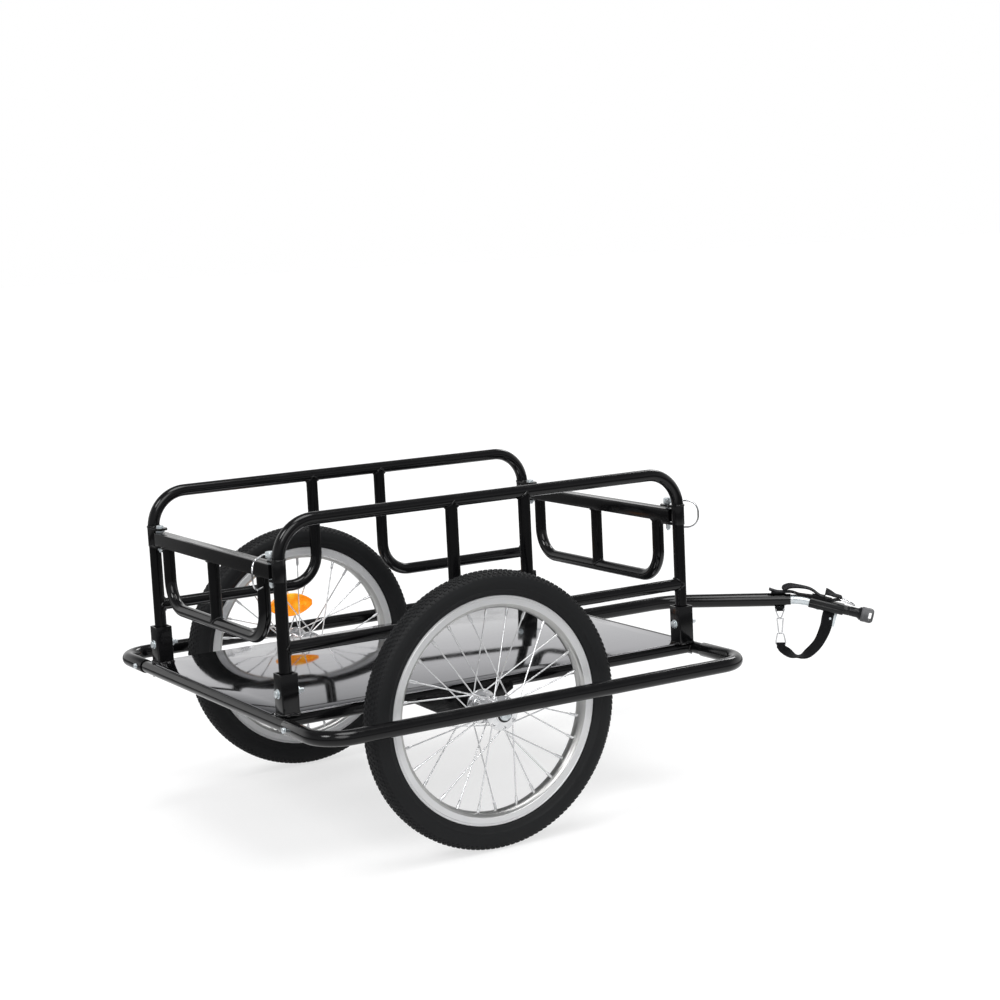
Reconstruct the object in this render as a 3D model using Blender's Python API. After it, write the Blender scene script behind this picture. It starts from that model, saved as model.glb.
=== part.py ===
"""Bicycle cargo trailer: tube frame with a sheet deck, two wire wheels, side panels, swinging gates and a hitch.

Lengths are in metres. The pieces are placed from the middle of the wheel axle: +X to the hitch, +Y to the
left, +Z up. At the end the whole trailer is moved so that the world's origin lies on the ground, under the
middle of its outline.
"""
import math

import bmesh
import bpy
from mathutils import Matrix, Vector

# Fits
GAP = 0.0003                    # between pieces that touch, are welded or are bolted
TUBE_SIDES = 12
WIRE_SIDES = 6
RING_SIDES = 5                  # of the snap hook's and the strap ring's thin wire
BEND_STEP = math.radians(22.5)  # a bend gets a ring of points about this often

# Wheels, 16 inch
TYRE_HEIGHT = 0.0337            # from the rim's outer edge to the tread, so 0.1925 m to the ground
TYRE_WIDTH = 0.038
RIM_RADIUS = 0.1588             # outer edge of the rim's flanges
RIM_WIDTH = 0.022
RIM_WALL = 0.0018
RIM_FLANGE_HEIGHT = 0.0065      # of the flanges above the bead seat
RIM_DEPTH = 0.0118              # from the bead seat to the spoke bed
RIM_SHOULDER = 0.0068           # of that depth, as far as the side walls run straight
WHEEL_TRACK = 0.590             # between the middles of the two wheels
REFLECTOR_LENGTH = 0.082
REFLECTOR_HEIGHT = 0.036
REFLECTOR_THICKNESS = 0.008
REFLECTOR_TIP = 0.004           # cut off each pointed end
REFLECTOR_FROM_AXLE = 0.068
REFLECTOR_X = -0.0187          # of its middle, behind the axle
WHEEL_STEPS = 30
HUB_STEPS = 14
FLANGE_RADIUS = 0.0240
FLANGE_THICKNESS = 0.0040
FLANGE_SPACING = 0.0540
SPOKE_CIRCLE_RADIUS = 0.0205
HUB_SHELL_RADIUS = 0.0150
HUB_LENGTH = 0.0680
HUB_END_RADIUS = 0.0125
SPOKES = 28
SPOKE_RADIUS = 0.0010
SPOKE_SIDES = 4
SPOKE_CROSSINGS = 2             # how many spokes of its own flange each spoke crosses
SPOKE_HEAD_OFFSET = 0.0017      # leading spokes lie outside their flange's middle, trailing ones inside
SPOKE_RIM_OFFSET = 0.0010
AXLE_RADIUS = 0.0060
AXLE_HEAD_RADIUS = 0.0100
AXLE_HEAD_LENGTH = 0.0060
AXLE_HEAD_PLAY = 0.0006         # between the hub and the axle's head
AXLE_NUT_LENGTH = 0.0065

# Frame
TUBE_RADIUS = 0.0090
GUARD_TUBE_RADIUS = 0.0107
GUARD_SLEEVE_PLAY = 0.0004      # between a guard's bore and the cross tube in it
FRAME_Z = 0.0160                # middle of the deck frame's tubes above the axle
REAR_TUBE_X = -0.282
FRONT_TUBE_X = 0.396
MIDDLE_TUBE_X = 0.170
PANEL_Y = 0.217                 # middle of the side panels and side rails
GUARD_CLEARANCE = 0.0082        # between an axle's head and the wheel guard's outer run
GUARD_END_Y = 0.247             # where a wheel guard's end sits on the cross tube
GUARD_BEND_RADIUS = 0.045
CROSS_TUBE_INSERT = 0.040       # length of cross tube inside the guard's end
GUARD_BOLT_FROM_END = 0.015
DECK_THICKNESS = 0.0015
DECK_OVERHANG = 0.0100          # of the front cross tube that the deck leaves bare
DECK_REAR_MARGIN = 0.0060
BRACKET_HALF_TOP = 0.075
BRACKET_HALF_FOOT = 0.030
BRACKET_DEPTH = 0.018           # from the axle to the bracket's lower edge
BRACKET_PLATE = 0.0035
BOSS_RADIUS = 0.0120

# Side panels
LEG_FROM_TUBE = 0.016           # between a panel leg and the cross tube at its end
REAR_LEG_X = REAR_TUBE_X + LEG_FROM_TUBE
FRONT_LEG_X = FRONT_TUBE_X - LEG_FROM_TUBE
TOP_Z = 0.2805
PANEL_BEND_RADIUS = 0.052
INFILL_Z = 0.113
INFILL_REAR_X = -0.003
INFILL_FRONT_X = 0.1145
INFILL_BEND_RADIUS = 0.045
SOCKET_PLAY = 0.0015            # between a panel leg and its square socket
SOCKET_WALL = 0.0020
SOCKET_HEIGHT = 0.061
LEG_BOLT_Z = 0.0560

# Gates
GATE_BAR = 0.019                # side of the square bar
GATE_Z = 0.2150
GATE_TUBE_DROP = 0.099          # from the bar's middle to the middle of the lower run
GATE_TUBE_Y = 0.1645
GATE_BEND_RADIUS = 0.042
PIVOT_FROM_LEG = 0.025
GATE_PLATE = 0.0030             # thickness of the bracket plates above and below the bar
GATE_SPACER = 0.0032            # height of the spacer between the bar and the upper plate
GATE_PLATE_PLAY = 0.0004
GATE_PLATE_END_RADIUS = 0.0110
COLLAR_WALL = 0.0018
PIVOT_RADIUS = 0.0035
SPACER_RADIUS = 0.0065
LOCK_PIN_RADIUS = 0.0035
LOCK_PIN_HEAD_RADIUS = 0.0062
LOCK_PIN_HEAD_HEIGHT = 0.0085
LOCK_PIN_TIP = 0.0110           # of the pin below its lower plate
WIRE_RADIUS = 0.0013
BOW_OFFSET = 0.0093             # between the pin's middle and the plane of the bow
BOW_REACH = 0.048
BOW_END_REACH = 0.012
BOW_CORNER_RADIUS = 0.014

# Bolts
BOLT_RADIUS = 0.0030
BOLT_HEAD_RADIUS = 0.0056
BOLT_HEAD_HEIGHT = 0.0040
BOLT_TAIL = 0.0030

# Drawbar and hitch
DRAWBAR_RADIUS = 0.0118
DRAWBAR_Y = 0.195
DRAWBAR_START_X = 0.150
DRAWBAR_KNEE_X = 0.652
DRAWBAR_ANGLE = math.radians(40)
DRAWBAR_BEND_RADIUS = 0.090
DRAWBAR_REACH = 0.2113          # from the knee to the drawbar's front end
RECEIVER_WALL = 0.0021
RECEIVER_START_X = 0.140
RECEIVER_END_X = 0.388
DRAWBAR_BOLT_X = 0.300
COUPLER_PITCH = math.radians(15)
SLEEVE_RADIUS = 0.0082
SLEEVE_LENGTH = 0.032           # of its bend, between the drawbar and the block
SLEEVE_INSERT = 0.030           # of the sleeve's shank inside the drawbar
BLOCK_LENGTH = 0.060
BLOCK_WIDTH = 0.023
BLOCK_HEIGHT = 0.0176
BLOCK_EDGE = 0.003
BLOCK_GROOVE = 0.0015
NECK_LENGTH = 0.0285
NECK_RADIUS = 0.0085
NECK_FLARE = (0.0055, 0.0118)   # length and end radius
CAP_LENGTH = 0.0235
CAP_RADIUS = 0.0130
CAP_BORE_DEPTH = 0.0115
CAP_SHANK_RADIUS = 0.0050
CAP_SLOT = (0.0065, 0.0140)     # along the cap and across it
CAP_SLOT_FROM_END = 0.0058

# Straps and their fittings, placed along the hitch from the drawbar's front end
STRAP_THICKNESS = 0.0024
STRAP_WIDTH = 0.020
STRAP_END_WIDTH = 0.0140        # where the safety strap is gathered in the snap hook's ring
STRAP_START = -0.033            # of the layer on the drawbar
EYE_S = -0.019                  # the rivet through strap and drawbar, over the snap hook
STRAP_RIVET_RADIUS = 0.0020
PATCH = (0.0170, 0.0160)        # length and width of the patch under the drawbar
HOOK_FOLD_WIDTH = 0.0115        # of the fold that holds the snap hook
HOOK_WIRE = 0.0012
HOOK_TOP = -0.0165              # below the drawbar's middle
HOOK_RING_Z = -0.0795           # the ring's lower wire
RING_WIRE = 0.0012
RING_HALF_WIDTH = 0.0122
STRAP_TAB = (0.0615, 0.0835, 0.0250)     # from and to along the coupler, and how far it hangs
TAB_THICKNESS = 0.0020
RIVET = (0.0735, -0.0205)
RING_FOLD = (0.0815, 0.0180)    # the ring's wire in the strap's fold: ahead and up in the coupler's frame
RING_TIP = 0.1085               # the ring's far wire, over the neck
RING_LIFT = 0.0036              # of that wire's middle above the neck
STRAP_LIFT = 0.0003             # of one sewn layer above the next

# Routes of the straps' loose stretches: along the drawbar's heading and up, or ahead and up in the coupler's
# frame. Where a strap also twists on its way, each point has its twist in degrees.
LAYER_ON_COUPLER = (0.036, 0.056, 0.068)
LAYER_END = (0.075, 0.0135)
PAD = (0.0345, 0.0690)          # the second layer on the block
TAIL_ROUTE = ((0.0722, 0.0213, -8), (0.0642, 0.0243, -18), (0.0549, 0.0260, -28))
ARCH_ROUTE = ((-0.0095, 0.0155, 15), (-0.0118, 0.0205, 32), (-0.0020, 0.0262, 32), (0.0140, 0.0220, 22),
              (0.0250, 0.0208, 12), (0.0345, 0.0172, 5))
ARCH_LANDING = (0.0450, 0.0570)
FLAP_ROUTE = ((-0.030, 0.0165), (-0.0365, 0.0190))
FLAP_SEWN = (-0.010, -0.022)
LOOP_TOP = (0.0690, 0.0688, 0.0200)
LOOP_ROUTE = ((0.0592, -0.0471, 90), (0.0540, -0.0610, 64), (0.0460, -0.0761, 50), (0.0370, -0.0868, 46),
              (0.0264, -0.0957, 37), (0.0162, -0.1006, 8), (0.0075, -0.1004, 0), (-0.0007, -0.0975, 25),
              (-0.0097, -0.0915, 62))


# Materials

def material(name, color, roughness, metallic=0.0):
    """A plain surface of one colour."""
    made = bpy.data.materials.new(name)
    made.use_nodes = True
    surface = made.node_tree.nodes["Principled BSDF"]
    surface.inputs["Base Color"].default_value = (*color, 1.0)
    surface.inputs["Roughness"].default_value = roughness
    surface.inputs["Metallic"].default_value = metallic
    return made


def make_materials():
    """Every finish on the trailer, by name."""
    return {
        "black_paint": material("black_paint", (0.012, 0.012, 0.013), 0.28),
        "zinc": material("zinc", (0.62, 0.68, 0.72), 0.35, 1.0),
        "chrome": material("chrome", (0.75, 0.75, 0.76), 0.15, 1.0),
        "deck_metal": material("deck_metal", (0.50, 0.50, 0.52), 0.18, 1.0),
        "rim_alloy": material("rim_alloy", (0.70, 0.70, 0.71), 0.30, 1.0),
        "tyre_rubber": material("tyre_rubber", (0.015, 0.015, 0.017), 0.75),
        "amber_lens": material("amber_lens", (0.95, 0.42, 0.03), 0.20),
        "webbing": material("webbing", (0.012, 0.012, 0.013), 0.90),
        "black_block": material("black_block", (0.018, 0.020, 0.022), 0.50),
        "grey_plastic": material("grey_plastic", (0.13, 0.13, 0.135), 0.60),
    }


# Shapes

def add_object(name, mesh_data, finish):
    """A named object from a bmesh, with its faces turned out and its round sides smooth."""
    bmesh.ops.recalc_face_normals(mesh_data, faces=mesh_data.faces)
    mesh = bpy.data.meshes.new(name)
    mesh_data.to_mesh(mesh)
    mesh_data.free()
    mesh.shade_smooth()
    mesh.set_sharp_from_angle(angle=math.radians(35))
    obj = bpy.data.objects.new(name, mesh)
    bpy.context.scene.collection.objects.link(obj)
    if finish:
        mesh.materials.append(finish)
    return obj


def circle_section(radius, sides=TUBE_SIDES):
    """Points round a circle, as (across, up) pairs, with a flat side at the top."""
    half = math.pi / sides
    return [(radius * math.sin(half + 2 * math.pi * i / sides), radius * math.cos(half + 2 * math.pi * i / sides))
            for i in range(sides)]


def rounded_path(corners, radius, step=BEND_STEP):
    """The corners of a path with each inner corner bent round at this radius."""
    points = [Vector(corners[0])]
    for before, here, after in zip(corners, corners[1:], corners[2:]):
        here = Vector(here)
        back = (Vector(before) - here).normalized()
        ahead = (Vector(after) - here).normalized()
        turn = math.pi - back.angle(ahead)
        if turn < 1e-4:
            continue
        tangent = radius * math.tan(turn / 2)
        centre = here + (back + ahead).normalized() * (radius / math.cos(turn / 2))
        start = here + back * tangent - centre
        axis = back.cross(ahead).normalized()
        steps = max(2, round(turn / step))
        points += [centre + Matrix.Rotation(-turn * i / steps, 3, axis) @ start for i in range(steps + 1)]
    return points + [Vector(corners[-1])]


def path_frames(points, across):
    """For each point of a path: its direction, and the across and up directions carried along it."""
    frames = []
    for i, point in enumerate(points):
        before = points[max(i - 1, 0)]
        after = points[min(i + 1, len(points) - 1)]
        first = (point - before).normalized() if i else (after - point).normalized()
        second = (after - point).normalized() if i + 1 < len(points) else first
        along = (first + second).normalized()
        stretch = 1.0 / max(along.dot(first), 0.5)
        across = (across - along * across.dot(along)).normalized()
        frames.append((point, along, across, across.cross(along), first, stretch))
    return frames


def sweep(name, points, section, finish, bore=None, across=(0, 1, 0)):
    """A section carried along a path, with flat ends. A bore, if given, runs right through it.

    A ring at a bend lies in the plane that halves the bend and is widened there, so the tube keeps its
    thickness.
    """
    mesh = bmesh.new()
    outer, inner = [], []
    for point, along, side, up, first, stretch in path_frames(points, Vector(across)):
        bend = (first - along * first.dot(along))
        wide = bend.normalized() if bend.length > 1e-6 else None
        for rings, shape in ((outer, section), (inner, bore or [])):
            ring = []
            for x, y in shape:
                offset = side * x + up * y
                if wide:
                    offset += wide * offset.dot(wide) * (stretch - 1.0)
                ring.append(mesh.verts.new(point + offset))
            rings.append(ring)
    for rings in (outer, inner):
        for ring, following in zip(rings, rings[1:]):
            for i in range(len(ring)):
                j = (i + 1) % len(ring)
                mesh.faces.new((ring[i], ring[j], following[j], following[i]))
    for end in (0, -1):
        if bore:
            count = len(section)
            for i in range(count):
                j = (i + 1) % count
                mesh.faces.new((outer[end][i], outer[end][j], inner[end][j], inner[end][i]))
        else:
            mesh.faces.new(outer[end])
    return add_object(name, mesh, finish)


def tube(name, corners, radius, finish, wall=None, bend_radius=0.0, sides=TUBE_SIDES, across=(0, 1, 0)):
    """A round tube along bent corners: solid, or open at both ends where a wall is given."""
    points = rounded_path(corners, bend_radius) if bend_radius else [Vector(corner) for corner in corners]
    bore = circle_section(radius - wall, sides) if wall else None
    return sweep(name, points, circle_section(radius, sides), finish, bore, across)


def revolve(name, profile, steps, finish, closed=True):
    """A profile of (radius, along Y) pairs turned round the Y axis. An open profile ends on the axis."""
    mesh = bmesh.new()
    rings = []
    for radius, along in profile:
        if radius < 1e-9:
            rings.append([mesh.verts.new((0.0, along, 0.0))])
            continue
        turn = 2 * math.pi / steps
        rings.append([mesh.verts.new((radius * math.sin(turn * i), along, radius * math.cos(turn * i)))
                      for i in range(steps)])
    pairs = list(zip(rings, rings[1:]))
    if closed:
        pairs.append((rings[-1], rings[0]))
    for ring, following in pairs:
        for i in range(steps):
            j = (i + 1) % steps
            corners = [ring[i % len(ring)], ring[j % len(ring)], following[j % len(following)],
                       following[i % len(following)]]
            mesh.faces.new(list(dict.fromkeys(corners)))
    return add_object(name, mesh, finish)


def extrude(name, outline, low, high, finish, to_world=None):
    """An outline of (x, y) pairs made into a prism from z = low to z = high, then placed."""
    mesh = bmesh.new()
    bottom = [mesh.verts.new((x, y, low)) for x, y in outline]
    top = [mesh.verts.new((x, y, high)) for x, y in outline]
    mesh.faces.new(bottom)
    mesh.faces.new(top)
    for i in range(len(outline)):
        j = (i + 1) % len(outline)
        mesh.faces.new((bottom[i], bottom[j], top[j], top[i]))
    if to_world:
        bmesh.ops.transform(mesh, matrix=to_world, verts=mesh.verts)
    return add_object(name, mesh, finish)


def box(name, low, high, finish=None):
    """A block between two corners."""
    outline = [(low[0], low[1]), (high[0], low[1]), (high[0], high[1]), (low[0], high[1])]
    return extrude(name, outline, low[2], high[2], finish)


def rod(name, start, end, radius, finish=None, sides=TUBE_SIDES):
    """A straight round bar."""
    direction = (Vector(end) - Vector(start)).normalized()
    across = Vector((0, 1, 0)) if abs(direction.y) < 0.9 else Vector((1, 0, 0))
    return tube(name, [start, end], radius, finish, sides=sides, across=across)


def around(radius, sides=TUBE_SIDES):
    """The radius that makes a polygon of these sides clear a circle of the radius given."""
    return radius / math.cos(math.pi / sides)


def cut(obj, cutter):
    """Cuts one shape away from another. The cutter stays in the scene as a guide."""
    combine(obj, cutter, "DIFFERENCE")


def join(obj, added):
    """Welds a shape to another, which then is one body."""
    combine(obj, added, "UNION")


def combine(obj, guide, operation):
    guide.name = f"{obj.name}.guide"
    guide.hide_render = True
    guide.display_type = "WIRE"
    modifier = obj.modifiers.new(operation.lower(), "BOOLEAN")
    modifier.operation = operation
    modifier.object = guide
    modifier.solver = "EXACT"


def arc(centre, radius, start, end, steps):
    """Points on an arc, from one angle to another, both included."""
    return [(centre[0] + radius * math.cos(start + (end - start) * i / steps),
             centre[1] + radius * math.sin(start + (end - start) * i / steps)) for i in range(steps + 1)]


def bolt(name, start, end, finish, head=BOLT_HEAD_RADIUS, radius=BOLT_RADIUS):
    """A hexagon bolt with its nut on it: head against start, nut against end."""
    start, end = Vector(start), Vector(end)
    along = (end - start).normalized()
    across = Vector((0, 0, 1)) if abs(along.z) < 0.9 else Vector((1, 0, 0))
    under_head = start - along * GAP
    under_nut = end + along * GAP
    rings = [
        (under_head - along * BOLT_HEAD_HEIGHT, head), (under_head, head), (under_head, radius),
        (under_nut, radius), (under_nut, head), (under_nut + along * BOLT_HEAD_HEIGHT, head),
        (under_nut + along * BOLT_HEAD_HEIGHT, radius),
        (under_nut + along * (BOLT_HEAD_HEIGHT + BOLT_TAIL), radius),
    ]
    up = along.cross(across)
    mesh = bmesh.new()
    circles = []
    for point, size in rings:
        turn = math.pi / 3
        circles.append([mesh.verts.new(point + across * (size * math.cos(turn * i)) + up * (size * math.sin(turn * i)))
                        for i in range(6)])
    for ring, following in zip(circles, circles[1:]):
        for i in range(6):
            j = (i + 1) % 6
            mesh.faces.new((ring[i], ring[j], following[j], following[i]))
    mesh.faces.new(circles[0])
    mesh.faces.new(circles[-1])
    return add_object(name, mesh, finish)


def bolt_hole(start, end, radius=BOLT_RADIUS):
    """A cutter for a bolt's hole, longer than the bolt at both ends."""
    start, end = Vector(start), Vector(end)
    along = (end - start).normalized()
    margin = along * 0.004
    return rod("hole", start - margin, end + margin, around(radius + GAP, WIRE_SIDES), sides=WIRE_SIDES)


# Deck frame

def bead_radius():
    return RIM_RADIUS - RIM_FLANGE_HEIGHT


def rim_inner_radius():
    """The spoke bed, where the spokes end."""
    return bead_radius() - RIM_DEPTH


def axle_head_y():
    """The seat of an axle's head, just outside its hub."""
    return WHEEL_TRACK / 2 + HUB_LENGTH / 2 + AXLE_HEAD_PLAY


def guard_y():
    """The middle of a wheel guard's outer run, clear of the axle's head."""
    return axle_head_y() + AXLE_HEAD_LENGTH + GUARD_CLEARANCE + GUARD_TUBE_RADIUS


def side_name(sign):
    return "left" if sign > 0 else "right"


def end_name(x):
    return "rear" if x < 0 else "front"


def guard_bolt_points(sign):
    """Where the bolt through a wheel guard's rear end meets the tube's rear and front."""
    y = sign * (GUARD_END_Y + GUARD_BOLT_FROM_END)
    return ((REAR_TUBE_X - GUARD_TUBE_RADIUS, y, FRAME_Z), (REAR_TUBE_X + GUARD_TUBE_RADIUS, y, FRAME_Z))


def make_cross_tube(name, x, finish):
    half = GUARD_END_Y + CROSS_TUBE_INSERT
    return tube(name, [(x, -half, FRAME_Z), (x, half, FRAME_Z)], TUBE_RADIUS, finish, across=(1, 0, 0))


def make_deck_frame(paint, zinc):
    """Cross tubes, side rails and wheel guards, with the bolts that hold the guards."""
    rear = make_cross_tube("rear_cross_tube", REAR_TUBE_X, paint)
    make_cross_tube("front_cross_tube", FRONT_TUBE_X, paint)
    rail_inner = PANEL_Y - TUBE_RADIUS
    middle = tube("middle_cross_tube", [(MIDDLE_TUBE_X, -PANEL_Y, FRAME_Z), (MIDDLE_TUBE_X, PANEL_Y, FRAME_Z)],
                  TUBE_RADIUS, paint, across=(1, 0, 0))
    for sign in (1, -1):
        side = side_name(sign)
        rail = tube(f"{side}_side_rail", [(REAR_TUBE_X, sign * PANEL_Y, FRAME_Z), (FRONT_TUBE_X, sign * PANEL_Y, FRAME_Z)],
                    TUBE_RADIUS, paint)
        for x in (REAR_TUBE_X, FRONT_TUBE_X):
            cut(rail, rod("cope", (x, sign * (rail_inner - 0.01), FRAME_Z), (x, sign * (PANEL_Y + 0.02), FRAME_Z),
                          around(TUBE_RADIUS + GAP)))
        cut(middle, rod("cope", (MIDDLE_TUBE_X - 0.02, sign * PANEL_Y, FRAME_Z),
                        (MIDDLE_TUBE_X + 0.02, sign * PANEL_Y, FRAME_Z), around(TUBE_RADIUS + GAP)))
        corners = [(REAR_TUBE_X, sign * GUARD_END_Y, FRAME_Z), (REAR_TUBE_X, sign * guard_y(), FRAME_Z),
                   (FRONT_TUBE_X, sign * guard_y(), FRAME_Z), (FRONT_TUBE_X, sign * GUARD_END_Y, FRAME_Z)]
        guard = tube(f"{side}_wheel_guard", corners, GUARD_TUBE_RADIUS, paint, bend_radius=GUARD_BEND_RADIUS,
                     across=(0, 0, 1))
        for x in (REAR_TUBE_X, FRONT_TUBE_X):
            cut(guard, tube("sleeve", [(x, sign * (GUARD_END_Y - 0.01), FRAME_Z),
                                       (x, sign * (GUARD_END_Y + CROSS_TUBE_INSERT + 0.003), FRAME_Z)],
                            TUBE_RADIUS + GUARD_SLEEVE_PLAY, None, across=(1, 0, 0)))
        start, end = guard_bolt_points(sign)
        cut(guard, bolt_hole(start, end))
        cut(rear, bolt_hole(start, end))
        bolt(f"{side}_guard_bolt", start, end, zinc)


def socket_half():
    """Half the outside width of a post socket."""
    return TUBE_RADIUS + SOCKET_PLAY + SOCKET_WALL


def make_deck_plate(finish):
    """The sheet that rests on the frame's tubes, notched round the four post sockets."""
    notch = socket_half() + 0.0015
    left = PANEL_Y + TUBE_RADIUS
    rear = REAR_TUBE_X + DECK_REAR_MARGIN
    front = FRONT_TUBE_X - DECK_OVERHANG
    inner = PANEL_Y - notch
    half = [(rear, inner), (REAR_LEG_X + notch, inner), (REAR_LEG_X + notch, left),
            (FRONT_LEG_X - notch, left), (FRONT_LEG_X - notch, inner), (front, inner)]
    outline = half + [(x, -y) for x, y in reversed(half)]
    bottom = FRAME_Z + TUBE_RADIUS + GAP
    return extrude("deck_plate", outline, bottom, bottom + DECK_THICKNESS, finish)


def make_post_sockets(paint):
    """Four square sockets that the panel legs stand in, bolted through along X."""
    bottom = FRAME_Z + TUBE_RADIUS + GAP
    outer = socket_half()
    inner = outer - SOCKET_WALL
    square = [(outer, outer), (-outer, outer), (-outer, -outer), (outer, -outer)]
    hollow = [(inner, inner), (-inner, inner), (-inner, -inner), (inner, -inner)]
    for x in (REAR_LEG_X, FRONT_LEG_X):
        for sign in (1, -1):
            name = f"{end_name(x)}_{side_name(sign)}_post_socket"
            socket = sweep(name, [Vector((x, sign * PANEL_Y, bottom)), Vector((x, sign * PANEL_Y, bottom + SOCKET_HEIGHT))],
                           square, paint, hollow)
            cut(socket, bolt_hole(*leg_bolt_points(x, sign)))


def leg_bolt_points(x, sign):
    """Where a leg's bolt meets the rear and the front face of its socket."""
    return ((x - socket_half(), sign * PANEL_Y, LEG_BOLT_Z), (x + socket_half(), sign * PANEL_Y, LEG_BOLT_Z))


def make_axle_brackets(paint):
    """A folded channel under each side rail, with a boss that holds the stub axle."""
    clear = TUBE_RADIUS + GAP
    rail_low = FRAME_Z
    outline = [(-BRACKET_HALF_TOP, rail_low), (-BRACKET_HALF_TOP, rail_low - clear), (-BRACKET_HALF_FOOT, -BRACKET_DEPTH),
               (BRACKET_HALF_FOOT, -BRACKET_DEPTH), (BRACKET_HALF_TOP, rail_low - clear), (BRACKET_HALF_TOP, rail_low)]
    for sign in (1, -1):
        # the outline lies in X and Z, and is drawn out along Y
        to_side = Matrix(((1, 0, 0, 0), (0, 0, 1, 0), (0, 1, 0, 0), (0, 0, 0, 1)))
        half = clear + BRACKET_PLATE
        bracket = extrude(f"{side_name(sign)}_axle_bracket", outline, sign * PANEL_Y - half, sign * PANEL_Y + half,
                          paint, to_side)
        inside = box("channel", (-BRACKET_HALF_TOP - 0.01, sign * PANEL_Y - clear, BRACKET_PLATE - BRACKET_DEPTH),
                     (BRACKET_HALF_TOP + 0.01, sign * PANEL_Y + clear, rail_low + 0.01))
        cut(bracket, inside)
        boss_end = boss_end_y()
        boss = rod("boss", (0, sign * (PANEL_Y + clear + BRACKET_PLATE / 2), 0), (0, sign * boss_end, 0), BOSS_RADIUS,
                   sides=16)
        join(bracket, boss)
        cut(bracket, rod("bore", (0, sign * (PANEL_Y - half - 0.01), 0), (0, sign * (boss_end + 0.01), 0),
                         around(AXLE_RADIUS + GAP), sides=TUBE_SIDES))


def boss_end_y():
    """How far out the axle boss reaches: up to the hub's inner end."""
    return WHEEL_TRACK / 2 - HUB_LENGTH / 2 - 0.0008


def make_axles(zinc):
    """Stub axles, from a nut inside the bracket to a head outside the hub."""
    inner = PANEL_Y - TUBE_RADIUS - GAP - BRACKET_PLATE - GAP
    outer = axle_head_y()
    nut = inner - AXLE_NUT_LENGTH
    profile = [(0, nut), (AXLE_HEAD_RADIUS, nut), (AXLE_HEAD_RADIUS, inner), (AXLE_RADIUS, inner),
               (AXLE_RADIUS, outer), (AXLE_HEAD_RADIUS, outer),
               (AXLE_HEAD_RADIUS, outer + AXLE_HEAD_LENGTH * 0.7), (AXLE_HEAD_RADIUS * 0.72, outer + AXLE_HEAD_LENGTH),
               (0, outer + AXLE_HEAD_LENGTH)]
    for sign in (1, -1):
        turned = [(radius, sign * y) for radius, y in profile]
        revolve(f"{side_name(sign)}_axle", turned, TUBE_SIDES, zinc, closed=False)


# Wheels

def spoke_line(index, sign):
    """A spoke's middle line, from inside its hub flange to just short of the rim, in the wheel's own frame.

    Spokes alternate between the two flanges round the rim. On each flange every second spoke leads and
    the others trail, each by the same angle, so that each crosses its neighbours.
    """
    rim_angle = 2 * math.pi * index / SPOKES
    flange = 1 if index % 2 else -1
    lead = 1 if (index // 2) % 2 else -1
    hub_angle = rim_angle + lead * (2 * math.pi * SPOKE_CROSSINGS / (SPOKES / 2) - math.pi / SPOKES)
    hub_y = sign * flange * (FLANGE_SPACING / 2 + lead * SPOKE_HEAD_OFFSET)
    rim_y = sign * flange * (0.002 + lead * SPOKE_RIM_OFFSET)
    start = Vector((SPOKE_CIRCLE_RADIUS * math.sin(hub_angle), hub_y, SPOKE_CIRCLE_RADIUS * math.cos(hub_angle)))
    reach = rim_inner_radius() - 0.0010
    end = Vector((reach * math.sin(rim_angle), rim_y, reach * math.cos(rim_angle)))
    return start, end


def make_spokes(sign):
    """All the spokes of one wheel as separate bars in one mesh, to be welded to the hub."""
    mesh = bmesh.new()
    for index in range(SPOKES):
        start, end = spoke_line(index, sign)
        along = (end - start).normalized()
        across = along.cross(Vector((0, 1, 0))).normalized()
        up = along.cross(across)
        rings = []
        for point in (start, end):
            rings.append([mesh.verts.new(point + across * x + up * y)
                          for x, y in circle_section(SPOKE_RADIUS, SPOKE_SIDES)])
        for i in range(SPOKE_SIDES):
            j = (i + 1) % SPOKE_SIDES
            mesh.faces.new((rings[0][i], rings[0][j], rings[1][j], rings[1][i]))
        mesh.faces.new(rings[0])
        mesh.faces.new(rings[1])
    return add_object("spokes", mesh, None)


def make_hub(name, sign, alloy):
    """A flanged hub with its laced spokes, bored for the axle."""
    bore = around(AXLE_RADIUS + GAP, HUB_STEPS)
    half = FLANGE_SPACING / 2
    face = FLANGE_THICKNESS / 2
    end = HUB_LENGTH / 2
    right = [(bore, end), (HUB_END_RADIUS, end), (HUB_END_RADIUS, half + face), (FLANGE_RADIUS, half + face),
             (FLANGE_RADIUS, half - face), (HUB_SHELL_RADIUS, half - face - 0.004)]
    profile = right + [(radius, -y) for radius, y in reversed(right)]
    hub = revolve(name, profile, HUB_STEPS, alloy)
    join(hub, make_spokes(sign))
    return hub


def tyre_profile():
    """The tyre's section: crown, shoulders, side walls and the bead between the rim's flanges."""
    half = TYRE_WIDTH / 2
    height = TYRE_HEIGHT
    crown = RIM_RADIUS + height
    bead = RIM_WIDTH / 2 - RIM_WALL - GAP
    right = [(crown - 0.0004, half * 0.36), (crown - height * 0.11, half * 0.72), (crown - height * 0.32, half * 0.96),
             (crown - height * 0.58, half), (RIM_RADIUS + 0.0006, RIM_WIDTH / 2 + 0.0030), (RIM_RADIUS + 0.0006, bead), (bead_radius() + GAP, bead)]
    return [(crown, 0.0)] + right + [(radius, -y) for radius, y in reversed(right)]


def rim_profile():
    """The rim's section: two flanges, the bead seats between them and the spoke bed inside."""
    half = RIM_WIDTH / 2
    shoulder = bead_radius() - RIM_SHOULDER
    right = [(bead_radius(), half - RIM_WALL), (RIM_RADIUS, half - RIM_WALL), (RIM_RADIUS, half), (shoulder, half),
             (rim_inner_radius(), half * 0.62)]
    return right + [(radius, -y) for radius, y in reversed(right)]


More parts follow.
